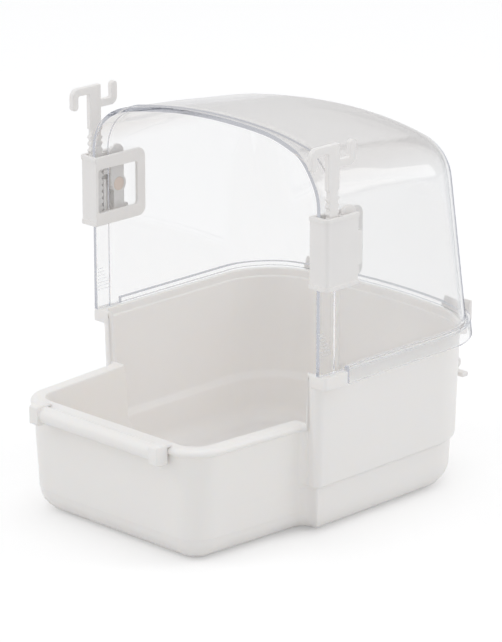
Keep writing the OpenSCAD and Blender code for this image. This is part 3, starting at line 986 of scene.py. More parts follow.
@dataclass
class Piece:
    """What every piece shares: it is built, dressed, rides on its body, and stands for its node.

    Attributes:
        tag: Names and finish of the piece.
        plan: Shared planes and widths.
    """

    tag: ClassVar[Tag]
    plan: Layout

    def solid(self) -> Solid:
        """Shape of the piece, on the right side where there are two."""
        raise NotImplementedError

    def build(self, finishes: Finishes, side: Side | None = None) -> None:
        """Build the piece and set it in.

        Args:
            finishes: The finishes built so far.
            side: Side of the bath, for a piece that stands on both.
        """
        tag = self.tag
        name, body, node = (side.node(word) if side else word for word in (tag.name, tag.body, tag.node))
        piece = self.solid().settle(name, self.plan.shift, side or Side.RIGHT, tag.sharp)
        if tag.soften:
            soften_edges(piece, "soft_edges", tag.soften, tag.soften_from)
        self.set_in(piece, body, node, tag.finish, finishes)

    @staticmethod
    def set_in(piece: bpy.types.Object, body: str, node: str, finish: WhitePlastic | ClearPlastic,
               finishes: Finishes) -> None:
        """Dress a piece and tie it to the frame.

        Args:
            piece: The piece.
            body: Body that it rides on.
            node: Node that it stands for.
            finish: Its finish.
            finishes: The finishes built so far.
        """
        finishes.dress(piece, finish)
        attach(piece, body)
        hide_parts(node)
        LOG.info("%s: %d faces on body %s", piece.name, len(piece.data.polygons), body)


@dataclass
class RimRow:
    """One ring of points near the rim: depth below the rim and inset, for the front and the rear part."""

    front_depth: float
    front_inset: float
    rear_depth: float
    rear_inset: float


# Share of the step's height, and of its inset, at each ring of points from below the step upwards.
STEP_EASE = ((-0.3, 1.0), (0.0, 0.96), (0.22, 0.8), (0.78, 0.2), (1.0, 0.04), (1.3, 0.0))


@dataclass
class Tub(Piece):
    """Water tub with a low front part, a high rear part, lip blocks and hinge lugs.

    Attributes:
        hinge: Place of the right rear latch's hinge.
        floor_t: Thickness of the floor.
        front_corner_r: Radius of the front corners.
        shoulder_r: Radius of the outer shoulder corners.
        cove_r: Radius of the outer shoulder corners' coves.
        front_wall: Thickness of the front part's wall at its rim.
        ridge_r: Radius of the ridges inside the shoulders.
        step_h: Height of the step round the wall.
        step_in: Inset of the wall below the step.
        ledge_h: Height of the sloping ledge inside the step.
        recess_d: Depth of the recess inside the rear rim.
        recess_h: Height of that recess.
        front_draft: Draft of the front part's walls.
        rear_draft: Draft of the rear part's walls.
        floor_r: Radius between walls and floor.
        crease: Depth of the crease above the front part's bottom round.
        bead_h: Height of the front rim's bead.
        rim_r: Radius of the rim's outer edge.
        rim_inner_r: Radius of the rim's inner edge.
        step_rise: Height over which the outer wall steps in.
        climb: Start and span of the rim's climb, as shares of the shoulder's width.
        inner_climb: The same on the inner face.
        nose_x: Places across the flat nose that have a column of points.
        lip_r: Radius of a lip block's outer corner.
        lug_r: Radius of a hinge lug.
        lug_w: Width of a hinge lug.
    """

    tag = Tag("tub_shell", "tub", "tub", TUB_WHITE)
    hinge: LatchHinge
    floor_t: float = 2.4
    front_corner_r: float = 14
    shoulder_r: float = 4.5
    cove_r: float = 2
    front_wall: float = 5.2
    ridge_r: float = 1.6
    step_h: float = 21.5
    step_in: float = 1.9
    ledge_h: float = 3
    recess_d: float = 0.6
    recess_h: float = 3.4
    front_draft: float = 0.05
    rear_draft: float = 0.03
    floor_r: float = 10
    crease: float = 0.25
    bead_h: float = 3
    rim_r: float = 0.5
    rim_inner_r: float = 0.6
    step_rise: float = 1.4
    climb: Point2 = (0.05, 0.3)
    inner_climb: Point2 = (0.58, 0.12)
    nose_x: tuple[float, ...] = (0, 12, 24, 33)
    lip_r: float = 1.5
    lug_r: float = 2.4
    lug_w: float = 4

    def half_outline(self, front_inset: float, rear_inset: float,
                     inner: bool) -> tuple[list[Point2], list[float]]:
        """Plan outline of the right half, from the middle of the nose to the middle of the rear.

        Args:
            front_inset: Inset of the front part.
            rear_inset: Inset of the rear part.
            inner: Whether the outline lies on the inner face, with a sharp ridge at the shoulder.

        Returns:
            The points, and for each its share of the rear part's height.
        """
        p = self.plan
        nose_r = max(0.8, self.front_corner_r - front_inset)
        edge_r = max(0.4, self.shoulder_r - rear_inset)
        room = p.xr - rear_inset - (p.xj - front_inset) - edge_r - 0.3
        cove_r = min(self.ridge_r if inner else self.cove_r + max(0, front_inset), room)
        y0 = p.y_nose + front_inset
        y1 = p.y_shoulder + rear_inset
        nose = [(x, y0) for x in self.nose_x]
        nose += arc((p.xn - front_inset - nose_r, y0 + nose_r), nose_r, -90, 0, 14)
        quarters = (0.25, 0.5, 0.75)
        side_x = (p.xn - front_inset, p.xj - front_inset)
        nose += [(side_x[0] + (side_x[1] - side_x[0]) * t, y0 + nose_r + (y1 - cove_r - y0 - nose_r) * t)
                 for t in quarters]
        cove = arc((p.xj - front_inset + cove_r, y1 - cove_r), cove_r, 180, 90, 12)
        start, end = p.xj - front_inset + cove_r, p.xr - rear_inset - edge_r
        begin, span = self.inner_climb if inner else self.climb
        steps = [0.0, 0.33, 0.67, 1.0]
        cove += [(start + (end - start) * (begin + span * t), y1) for t in steps]
        climb = [0.0] * 13 + steps
        rear = arc((end, y1 + edge_r), edge_r, -90, 0, 8)
        rear += [(p.xr - rear_inset, y1 + edge_r + (p.corner[1] - y1 - edge_r) * t) for t in quarters]
        rear += arc(p.corner, p.rear_corner_r - rear_inset, 0, 90 - p.bow_angle, 18)
        rear += arc((0, p.bow_y), p.rear_bow_r - rear_inset, 90 - p.bow_angle, 90, 10)[1:]
        return nose + cove + rear, [0.0] * len(nose) + climb + [1.0] * len(rear)

    def ring(self, front_inset: float, rear_inset: float, inner: bool) -> tuple[np.ndarray, np.ndarray]:
        """Whole plan outline, anticlockwise, with each point's share of the rear height."""
        half, share = self.half_outline(front_inset, rear_inset, inner)
        left = [(-x, y) for x, y in half[-2:0:-1]]
        return np.array(half + left), np.array(share + share[-2:0:-1])

    def wall_rings(self, inner: bool) -> list[np.ndarray]:
        """Rings of the outer or inner face from the floor to just above the step.

        Args:
            inner: Whether the inner face is wanted.

        Returns:
            The rings, lowest first.
        """
        if inner:
            front_t, draft, rear_t = self.front_wall, 0.0, self.plan.tub_wall
            floor_z, radius = self.floor_t, self.floor_r - self.plan.tub_wall
            low, height = self.step_h - self.ledge_h / 6, self.ledge_h
        else:
            front_t, draft, rear_t = 0.0, self.front_draft, 0.0
            floor_z, radius = 0.0, self.floor_r
            low, height = self.step_h - self.step_rise / 2, self.step_rise
        rows = []
        for turn in range(0, 91, 9):
            drawn = radius * (1 - math.sin(math.radians(turn)))
            rows.append((floor_z + radius * (1 - math.cos(math.radians(turn))), drawn, drawn + self.step_in))
        for rise, part in STEP_EASE:
            rows.append((low + height * rise, 0.0, part * self.step_in))
        if not inner:
            rows = [(z, front + self.crease, rear) for z, front, rear in rows[:11]] + rows[10:]
            rows[11] = (self.floor_r + 0.3, 0.0, self.step_in)
        rings = []
        for z, front, rear in rows:
            front += front_t + draft * (self.plan.front_h - z)
            rear += rear_t + self.rear_draft * (self.plan.rear_h - z)
            outline, _ = self.ring(front, rear, inner)
            rings.append(np.column_stack([outline, np.full(len(outline), z)]))
        return rings

    def rim_rings(self, rows: list[RimRow], inner: bool) -> list[np.ndarray]:
        """Rings near the rim, which follow its height.

        Args:
            rows: Depth and inset of each ring.
            inner: Whether the rings lie on the inner face.

        Returns:
            The rings in the order given.
        """
        p = self.plan
        rings = []
        for row in rows:
            outline, share = self.ring(row.front_inset, row.rear_inset, inner)
            top = p.front_h + (p.rear_h - p.front_h) * share
            depth = row.front_depth + (row.rear_depth - row.front_depth) * share
            rings.append(np.column_stack([outline, top - depth]))
        return rings

    def outer_rim(self) -> list[RimRow]:
        """Rim rows outside: the bead on the front part and a small round on the rear part."""
        out = self.plan.bead_out
        low = self.bead_h + 0.3
        rows = [RimRow(low, self.front_draft * self.bead_h, low, self.rear_draft * low)]
        for turn in range(-80, 91, 17):
            sine = math.sin(math.radians(turn))
            cosine = math.cos(math.radians(turn))
            edge = max(0.0, sine)
            rows.append(RimRow(self.bead_h / 2 * (1 - sine), -out * cosine + self.rim_r * edge,
                               self.rim_r * (1 - edge) + 2 * max(0.0, -sine), self.rim_r * edge * edge))
        return rows

    def inner_rim(self) -> list[RimRow]:
        """Rim rows inside, from the rim downwards, with the recess in the rear part."""
        front, rear = self.front_wall, self.plan.tub_wall - self.recess_d
        rows = []
        for turn in (90, 65, 40, 15, 0):
            drawn = self.rim_inner_r * (1 - math.cos(math.radians(turn)))
            depth = self.rim_inner_r * (1 - math.sin(math.radians(turn)))
            rows.append(RimRow(depth, front - drawn, depth, rear - drawn))
        for depth, rear_inset in ((self.recess_h - 0.1, rear), (self.recess_h, rear + 0.1),
                                  (self.recess_h + 0.5, self.plan.tub_wall), (5.0, self.plan.tub_wall + 0.1)):
            rows.append(RimRow(depth, front, depth, rear_inset))
        return rows

    def shell(self) -> Solid:
        """Loft the open shell.

        Returns:
            The shell as a closed solid.
        """
        rings = self.wall_rings(False) + self.rim_rings(self.outer_rim(), False)
        rings += self.rim_rings(self.inner_rim(), True) + self.wall_rings(True)[::-1]
        count = len(rings[0])
        faces = grid_faces(0, len(rings), count, True)
        last = (len(rings) - 1) * count
        faces += [list(range(count))[::-1], list(range(last, last + count))]
        return Solid.from_points(np.concatenate(rings), faces)

    def lip_block(self) -> Solid:
        """Block beside the right front post."""
        p = self.plan
        x1 = p.xr + p.lip_out
        outline = rounded([
            (p.xr - self.shoulder_r, p.y_shoulder, 0),
            (x1, p.y_shoulder, self.lip_r),
            (x1, p.lip_y1, 0.5),
            (p.xr - p.tub_wall / 2, p.lip_y1, 0),
            (p.xr - p.tub_wall / 2, p.y_shoulder + self.shoulder_r, 0),
            (p.xr - self.shoulder_r, p.y_shoulder + p.tub_wall / 2, 0),
        ])
        return Prism(outline, p.rear_h - p.lip_drop, p.rear_h, soften=0.4, along=Along.Z).solid()

    def lug(self) -> Solid:
        """Hinge lug behind the right half of the rear wall."""
        hinge = self.hinge
        half = self.lug_w / 2
        root = self.plan.rear_wall(hinge.x + half) - self.rear_draft * (self.plan.rear_h - hinge.z)
        root -= self.plan.tub_wall / 2
        outline = arc((hinge.y, hinge.z), self.lug_r, -150, 90, 24)
        outline += [(root, hinge.z + self.lug_r), (root, hinge.z - self.lug_r / 2)]
        return Prism(outline, hinge.x - half, hinge.x + half).solid()

    def solid(self) -> Solid:
        """Shell with the lip blocks and lugs of both sides."""
        return self.shell().join_pair(self.lip_block()).join_pair(self.lug())


@dataclass
class PerchRail(Piece):
    """Round-fronted rail along the front rim, with a block at each end.

    Attributes:
        length: Length over both blocks.
        height: Height of the bar.
        depth: Depth of the bar.
        block_l: Length of an end block.
        block_step: How far a block stands out from the bar.
        block_r: Radius of a block's front edges.
        clip_r: Radius of a block's edge inside the tub.
    """

    tag = Tag("perch_bar", "tub", "perch_rail", TUB_WHITE)
    length: float = 74
    height: float = 6.8
    depth: float = 5.4
    block_l: float = 5
    block_step: float = 0.8
    block_r: float = 1.4
    clip_r: float = 0.8

    def solid(self) -> Solid:
        """Bar with a block at each end.

        Returns:
            The whole rail.
        """
        back = self.plan.y_nose - self.plan.bead_out
        top = self.plan.front_h + self.block_step
        radius = self.height / 2
        middle = (back - self.depth + radius, top - radius)
        cut = math.degrees(math.acos((back - middle[0]) / radius))
        half = self.length / 2 - self.block_l / 2
        bar = Prism(arc(middle, radius, cut, 360 - cut, 40), -half, half, soften=0.1).solid()
        low = top - self.height - self.block_step
        high = top + self.block_step
        front = back - self.depth - self.block_step
        inside = back + self.plan.bead_out + self.plan.tub_wall / 2
        outline = rounded([
            (front, low, self.block_r),
            (back, low, 0),
            (back, self.plan.front_h, 0),
            (inside, self.plan.front_h, 0),
            (inside, high, self.clip_r),
            (front, high, self.block_r),
        ])
        block = Prism(outline, self.length / 2 - self.block_l, self.length / 2, soften=0.5).solid()
        return bar.join_pair(block)


@dataclass
class Hood(Piece):
    """Clear hood: a rounded shell with sloping roof, leaning rear wall, raised band and flange.

    Attributes:
        top: Height of the crown at the front edge.
        wall: Thickness of the shell.
        setback: Place of the front edge along Y.
        roof_fall: Fall of the roof towards the rear.
        crown_r: Radius of the roof from side to side at the front edge.
        rear_crown_r: Radius of the roof from side to side towards the rear.
        arch_r: Radius between roof and walls at the front edge.
        roof_r: Radius between roof and walls towards the rear.
        arch_l: Length over which the front radius runs into the rear one.
        corner_r: Radius of the rear corners in plan.
        rear_lean: Lean of the rear wall.
        edge_back: Backward sweep of the front edge from the posts to the crown.
        sweep_from: Tilt in degrees above which the front edge sweeps back.
        sweep_over: Tilt in degrees over which the sweep comes in.
        edge_strip: Width of the first strip of faces behind the front edge.
        band_w: Width of the raised band.
        band_set: Distance of the band behind the front edge of a post.
        band_pull: How much nearer the band runs to the edge at the crown.
        band_ease: Share of the band's width in which it rises.
        flange_t: Thickness of the flange.
        flange_sweep: Share of the front edge's sweep where the flange begins.
        side_sweep: Share of that sweep just ahead of the flange.
        band_points: Number of point columns across the band.
        side_points: Number of point columns along a side.
        fan_points: Number of point columns round the rear.
        halvings: Number of halvings in the search for a face.
        rib_n: Number of fine ribs inside a post.
        rib_pitch: Spacing of the ribs.
        rib_rise: Height of the lowest rib above the hood's lower edge.
        rib_t: Thickness of a rib.
        rib_l: Length of the lowest rib.
        rib_step: Difference in length between ribs.
    """

    tag = Tag("clear_hood", "hood", "hood", HOOD_CLEAR, sharp=42, soften=0.35)
    top: float = 163.8
    wall: float = 1.8
    setback: float = 1.9
    roof_fall: float = 0.107
    crown_r: float = 280
    rear_crown_r: float = 320
    arch_r: float = 18
    roof_r: float = 15
    arch_l: float = 40
    corner_r: float = 20
    rear_lean: float = 0.168
    edge_back: float = 9.5
    sweep_from: float = 52
    sweep_over: float = 24
    edge_strip: float = 0.6
    band_w: float = 3.6
    band_set: float = 7.6
    band_pull: float = 5.5
    band_ease: float = 0.22
    flange_t: float = 1.6
    flange_sweep: float = 0.55
    side_sweep: float = 0.5
    band_points: int = 13
    side_points: int = 9
    fan_points: int = 109
    halvings: int = 40
    rib_n: int = 7
    rib_pitch: float = 1.5
    rib_rise: float = 8
    rib_t: float = 0.5
    rib_l: float = 7
    rib_step: float = 0.7

    def __post_init__(self) -> None:
        """Work out the planes of the lower edge and the flange."""
        p = self.plan
        self.base = p.rear_h + p.gap
        self.rear = p.bow_y + p.rear_bow_r + p.hx - p.xr
        self.fan_y = self.rear - p.hx
        self.flange_y = p.lip_y1 + 2 * p.gap
        self.flange_off = p.xr + p.lip_out - p.hx
        self.skirt = self.base - p.lip_drop

    def rear_y(self, x: np.ndarray, z: np.ndarray) -> np.ndarray:
        """Place of the rear wall along Y."""
        p = self.plan
        bow = np.sqrt((p.rear_bow_r + p.hx - p.xr) ** 2 - np.minimum(np.abs(x), p.hx) ** 2)
        return p.bow_y + bow - self.rear_lean * (z - self.base)

    def distance(self, place: np.ndarray) -> np.ndarray:
        """Signed distance from the hood's outer face.

        Args:
            place: One row of X, Y and Z for each point.

        Returns:
            The distances, below zero inside.
        """
        x, y, z = place.T
        side = np.abs(x) - self.plan.hx
        back = (y - self.rear_y(x, z)) / math.hypot(1, self.rear_lean)
        corner = self.corner_r
        plan = np.hypot(np.maximum(side + corner, 0), np.maximum(back + corner, 0)) - corner
        rearward = smooth_step((y - self.setback) / self.arch_l)
        bend = (1 - rearward) / self.crown_r + rearward / self.rear_crown_r
        roof = z - self.top + self.roof_fall * (y - self.setback) + x * x / 2 * bend
        radius = self.arch_r + (self.roof_r - self.arch_r) * rearward
        return np.hypot(np.maximum(plan + radius, 0), np.maximum(roof + radius, 0)) - radius

    def reach(self, origin: np.ndarray, heading: np.ndarray, offset: np.ndarray) -> np.ndarray:
        """Points where rays from inside meet a face of the shell.

        Args:
            origin: Start of each ray.
            heading: Direction of each ray.
            offset: Distance of the face from the hood's outer face.

        Returns:
            The points.
        """
        low = np.zeros(len(origin))
        high = np.full(len(origin), 2 * self.plan.hx)
        for _ in range(self.halvings):
            middle = (low + high) / 2
            inside = self.distance(origin + heading * middle[:, None]) < offset
            low = np.where(inside, middle, low)
            high = np.where(inside, high, middle)
        return origin + heading * low[:, None]

    def columns(self) -> list[tuple[float, float, float, float]]:
        """Columns of points from the right post round the rear to the left post.

        Returns:
            Place along Y, heading in degrees, backward sweep at the crown, and extra thickness.
        """
        band = self.setback + self.band_set
        steps = np.linspace(0, 1, self.band_points)
        swell = smooth_step(steps / self.band_ease) * smooth_step((1 - steps) / self.band_ease)
        sweep = self.edge_back - self.band_pull
        side = [(self.setback, self.edge_back, 0.0), (self.setback + self.edge_strip, self.edge_back, 0.0)]
        side += [(band + self.band_w * t, sweep, self.plan.band_t * s) for t, s in zip(steps, swell)]
        side += [(self.plan.lip_y1 + self.plan.gap, self.side_sweep * self.edge_back, 0.0)]
        rearward = self.flange_sweep * self.edge_back
        side += [(self.flange_y + (self.fan_y - self.flange_y) * t, rearward * (1 - t), 0.0)
                 for t in np.linspace(0, 1, self.side_points)]
        right = [(y, 0.0, back, extra) for y, back, extra in side]
        fan = [(self.fan_y, float(a), 0.0, 0.0) for a in np.linspace(0, 180, self.fan_points)[1:-1]]
        left = [(y, 180.0, back, extra) for y, back, extra in reversed(side)]
        return right + fan + left

    def tilts(self) -> np.ndarray:
        """Tilts in degrees of the rays above the lower edge, closest together round the shoulders."""
        return np.concatenate([np.linspace(4, 34, 9), np.linspace(36, 66, 31), np.linspace(68, 90, 14)])

    def face_rows(self, columns: list[tuple[float, float, float, float]], outer: bool) -> np.ndarray:
        """Point rows of the outer or inner face.

        Args:
            columns: The columns of points.
            outer: Whether the outer face is wanted, with band and flange.

        Returns:
            Points by row and column.
        """
        inner_skirt = self.flange_off - self.flange_t
        upper = self.base + self.flange_t
        flange = [(self.base, inner_skirt), (self.skirt, inner_skirt), (self.skirt, self.flange_off),
                  (upper, self.flange_off), (upper, 0.0)]
        rows: list[list[tuple[float, float, float]]] = []
        for k in range(len(flange)):
            plain = self.base + self.flange_t * k / (len(flange) - 1)
            row = []
            for y, _, _, extra in columns:
                if outer and y >= self.flange_y:
                    row.append((flange[k][0], 0.0, flange[k][1]))
                else:
                    row.append((plain, 0.0, extra if outer else -self.wall))
            rows.append(row)
        for tilt in self.tilts():
            rows.append([(self.base, float(tilt), c[3] if outer else -self.wall) for c in columns])
        height, tilt, offset = np.array(rows).transpose(2, 0, 1).reshape(3, -1)
        y, heading, back, _ = np.tile(np.array(columns), (len(rows), 1)).T
        sweep = smooth_step((tilt - self.sweep_from) / self.sweep_over)
        tilt = np.radians(tilt)
        heading = np.radians(heading)
        origin = np.column_stack([np.zeros(len(y)), y + back * sweep, height])
        way = np.column_stack([np.cos(heading) * np.cos(tilt), np.sin(heading) * np.cos(tilt), np.sin(tilt)])
        return self.reach(origin, way, offset).reshape(len(rows), len(columns), 3)

    def shell(self) -> Solid:
        """Build the shell between its two faces.

        Returns:
            The shell as a closed solid.
        """
        columns = self.columns()
        outer = self.face_rows(columns, True)
        inner = self.face_rows(columns, False)
        rows, count, _ = outer.shape
        size = rows * count
        faces = grid_faces(0, rows, count, False)
        faces += [[i + size for i in face] for face in grid_faces(0, rows, count, False)]
        faces += [[j, j + 1, size + j + 1, size + j] for j in range(count - 1)]
        for j in (0, count - 1):
            faces += [[i * count + j, (i + 1) * count + j, size + (i + 1) * count + j, size + i * count + j]
                      for i in range(rows - 1)]
        return Solid.from_points(np.concatenate([outer.reshape(-1, 3), inner.reshape(-1, 3)]), faces)

    def rib(self, index: int) -> Solid:
        """Fine rib inside the right post."""
        x0 = self.plan.hx - self.wall - self.rib_t / 2
        low = self.base + self.rib_rise + index * self.rib_pitch
        y0 = self.setback + self.rib_t
        outline = box_outline(y0, low, y0 + self.rib_l - index * self.rib_step, low + self.rib_t, radius=0.15)
        return Prism(outline, x0, x0 + self.rib_t, soften=0.1).solid()

    def solid(self) -> Solid:
        """Shell with the fine ribs of both posts.

        Returns:
            The whole hood.
        """
        shell = self.shell()
        for index in range(self.rib_n):
            shell.join_pair(self.rib(index))
        return shell.close()


@dataclass
class CatchPivot:
    """Place of the right catch lever's pin in the Y-Z plane.

    Attributes:
        y: Place along Y.
        z: Height.
        radius: Radius of the pin.
        play: Play of the lever round the pin.
    """

    y: float = 16.7
    z: float = 121.5
    radius: float = 2.8
    play: float = 0.05


@dataclass
class HookHolder(Piece):
    """Holder clipped round a front post of the hood, with a window frame inside and a sleeve outside.

    Its parts overlap by 0.02 to 0.5, so that no two faces lie in one plane when they are joined.

    Attributes:
        pivot: Place of the catch lever's pin.
        bottom: Height of its lower end.
        height: Height of the holder.
        frame_l: Length of the inner frame.
        sleeve_l: Length of the outer wall.
        wall: Thickness of the frame and front wall.
        frame_bar: Width of the frame's rear bar.
        frame_rail: Height of the frame's upper and lower bars.
        frame_r: Radius of the frame's rear corners.
        window_r: Radius of the window's corners.
        edge_r: Radius of the sleeve's free edges.
        sleeve_r: Radius of the sleeve's front outer corner.
        lip: Height of the lips at both ends.
        lip_r: Radius of a lip's front outer corner.
        lip_lap: How far a lip runs into the sleeve.
        guide_w: Width of the guide rib behind the hook's stem.
        notch: Lower and upper end of the guide rib's opening, above the pin.
        boss_wall: Wall of the boss round the pin.
        ear_h: Height of the ear behind the outer wall.
        ear_r: Radius of the ear's corners.
        ear_lap: How far the ear runs into the outer wall.
    """

    tag = Tag("hook_holder", "holder", "holder", FITTING_WHITE)
    pivot: CatchPivot
    bottom: float = 106.8
    height: float = 29.4
    frame_l: float = 28.2
    sleeve_l: float = 18.1
    wall: float = 1.5
    frame_bar: float = 4.6
    frame_rail: float = 5.4
    frame_r: float = 3.8
    window_r: float = 1.3
    edge_r: float = 0.4
    sleeve_r: float = 1.6
    lip: float = 1.8
    lip_r: float = 2
    lip_lap: float = 0.5
    guide_w: float = 1.4
    notch: Point2 = (3, 9)
    boss_wall: float = 0.8
    ear_h: float = 14.2
    ear_r: float = 1.2
    ear_lap: float = 3

    def __post_init__(self) -> None:
        """Work out the planes across the width, from the frame outwards."""
        p = self.plan
        self.frame_x0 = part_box("right_holder")[0][0] / MM
        self.frame_x1 = self.frame_x0 + self.wall
        self.sleeve_x1 = p.half_span - p.lip_proud
        self.sleeve_x0 = self.sleeve_x1 - p.sleeve_wall
        self.stem_x0 = self.sleeve_x0 - p.gap - p.hook_t
        self.top = self.bottom + self.height

    def inner_frame(self) -> Solid:
        """Flat frame with its window, inside the hood."""
        low, high = self.bottom + 0.06, self.top - 0.06
        outline = rounded([(0.06, low, 0), (self.frame_l, low, self.frame_r),
                           (self.frame_l, high, self.frame_r), (0.06, high, 0)], steps=10)
        window = box_outline(self.wall, self.bottom + self.frame_rail, self.frame_l - self.frame_bar,
                             self.top - self.frame_rail, self.window_r, steps=8)
        return Prism(outline, self.frame_x0, self.frame_x1, soften=0.3, holes=[window]).solid()

    def sleeve(self) -> Solid:
        """Front wall across the post and the outer wall beside it, as one angle."""
        x0 = self.frame_x0 + 0.04
        edge_r, back = self.edge_r, self.sleeve_l
        outline = rounded([(x0, 0, edge_r), (self.sleeve_x1, 0, self.sleeve_r),
                           (self.sleeve_x1, back, edge_r), (self.sleeve_x0, back, edge_r),
                           (self.sleeve_x0, self.wall, 0), (x0, self.wall, edge_r)])
        return Prism(outline, self.bottom + 0.03, self.top - 0.03, soften=0.3, along=Along.Z).solid()

    def ear(self) -> Solid:
        """Ear behind the outer wall, round the pin's seat."""
        back = self.pivot.y + self.pivot.radius + self.boss_wall
        low = self.pivot.z - self.ear_h / 2
        outline = box_outline(self.sleeve_l - self.ear_lap, low, back, low + self.ear_h, self.ear_r)
        return Prism(outline, self.sleeve_x0 + 0.05, self.sleeve_x1 - 0.05, soften=0.3).solid()

    def lip_ring(self, low: float) -> Solid:
        """Lip round the front and the outer wall at one end."""
        proud = self.plan.lip_proud
        outer = self.sleeve_x1 + proud
        x0 = self.frame_x0 + 0.02
        back, inside = self.sleeve_l - 0.05, self.sleeve_x1 - self.lip_lap
        outline = rounded([(x0, -proud, 0), (outer, -proud, self.lip_r), (outer, back, 0), (inside, back, 0),
                           (inside, self.lip_lap, 0), (x0, self.lip_lap, 0)])
        return Prism(outline, low, low + self.lip, soften=0.2, along=Along.Z).solid()

    def guide(self) -> Solid:
        """Guide rib behind the hook's stem, open for the lever's nose."""
        y0 = self.plan.stem_y0 + self.plan.stem_w + self.plan.gap
        outline = box_outline(y0, self.bottom + 0.1, y0 + self.guide_w, self.top - 0.1, radius=0.3)
        rib = Prism(outline, self.stem_x0 + self.plan.gap, self.sleeve_x0 + 0.4, soften=0.2).solid()
        low, high = (self.pivot.z + rise for rise in self.notch)
        notch = box_outline(y0 - 1, low, y0 + self.guide_w + 1, high, radius=0.2)
        return rib.cut(Prism(notch, self.stem_x0 - 1, self.sleeve_x0, soften=0.01).solid())

    def boss(self) -> Solid:
        """Boss inside the outer wall that seats the pin."""
        ring = arc((self.pivot.y, self.pivot.z), self.pivot.radius + self.boss_wall - 0.05, 0, 351, 39)
        bore = arc((self.pivot.y, self.pivot.z), self.pivot.radius, 0, 351, 39)
        lever_x1 = self.plan.hx + self.plan.band_t + self.plan.gap + self.plan.lever_t
        return Prism(ring, lever_x1 + self.plan.gap, self.sleeve_x0 + 0.4, soften=0.15, holes=[bore]).solid()

    def solid(self) -> Solid:
        """Sleeve with everything that stands on it."""
        return self.sleeve().join(
            self.ear(), self.inner_frame(), self.lip_ring(self.bottom),
            self.lip_ring(self.top - self.lip), self.guide(), self.boss())


@dataclass
class CageHook(Piece):
    """Flat double hook with a toothed stem.

    Attributes:
        top: Height of its top.
        front_reach: Reach of the front arm.
        rear_reach: Reach of the rear arm.
        arm_t: Thickness of an arm.
        arm_drop: Drop of the front arm.
        arm_rise: Rise of the rear arm.
        neck_l: Length of the neck between arms and teeth.
        rack_l: Length of the toothed stretch.
        rack_end: Plain length at each end of it.
        tooth_pitch: Spacing of the teeth.
        tooth_d: Depth of the teeth.
        bend_r: Radius of the inner bends.
        crown_r: Radius of the stem's upper rear corner.
    """

    tag = Tag("cage_hook", "hook", "hook", FITTING_WHITE)
    top: float = 165.4
    front_reach: float = 9.6
    rear_reach: float = 9.2
    arm_t: float = 3.3
    arm_drop: float = 9.2
    arm_rise: float = 9.9
    neck_l: float = 9.1
    rack_l: float = 36
    rack_end: float = 1
    tooth_pitch: float = 2.8
    tooth_d: float = 0.9
    bend_r: float = 0.8
    crown_r: float = 0.6

    def teeth(self, root: float, crest: float, upwards: bool) -> list[Point2]:
        """Outline of one row of teeth.

        Args:
            root: Place of the tooth roots along Y.
            crest: Place of the tooth crests along Y.
            upwards: Whether the outline runs upwards.

        Returns:
            The points.
        """
        low = self.top - self.arm_rise - self.neck_l - self.rack_l
        points: list[Point2] = []
        for i in range(math.floor((self.rack_l - 2 * self.rack_end) / self.tooth_pitch)):
            z = low + self.rack_end + i * self.tooth_pitch
            points += [(root, z), (crest, z + 0.35 * self.tooth_pitch), (crest, z + 0.5 * self.tooth_pitch),
                       (root, z + 0.85 * self.tooth_pitch)]
        return points if upwards else points[::-1]

    def outline(self) -> list[Point2]:
        """Whole outline, anticlockwise from the foot of the stem."""
        y0, y1 = self.plan.stem_y0, self.plan.stem_y0 + self.plan.stem_w
        root0, root1 = y0 + self.tooth_d, y1 - self.tooth_d
        t, bend = self.arm_t, self.bend_r
        low = self.top - self.arm_rise - self.neck_l - self.rack_l
        neck = low + self.rack_l
        arm = self.top - self.arm_rise
        rear = y1 + self.rear_reach
        front = y0 - self.front_reach
        points = [(root0, low), (root1, low), *self.teeth(root1, y1, True), (root1, neck)]
        points += [(y1, neck + self.tooth_d), (y1, arm)]
        points += arc((rear - t, arm + t), t, -90, 0, 10)
        points += arc((rear - t / 2, self.top - t / 2), t / 2, 0, 180, 12)
        points += arc((rear - t - bend, arm + t + bend), bend, 0, -90, 4)
        points += arc((y1 + bend, arm + t + bend), bend, -90, -180, 4)
        points += arc((y1 - self.crown_r, self.top - self.crown_r), self.crown_r, 0, 90, 4)
        points += arc((front + t, self.top - t), t, 90, 180, 10)
        points += arc((front + t / 2, self.top - self.arm_drop + t / 2), t / 2, 180, 360, 12)
        points += arc((front + t + bend, self.top - t - bend), bend, 180, 90, 4)
        points += arc((y0 - bend, self.top - t - bend), bend, 90, 0, 4)
        points += [(y0, neck + self.tooth_d), (root0, neck), *self.teeth(root0, y0, False)]
        return points

    def solid(self) -> Solid:
        """Flat hook at its place across the width."""
        x0 = self.plan.hx + self.plan.hook_set
        return Prism(self.outline(), x0, x0 + self.plan.hook_t, soften=0.35).solid()


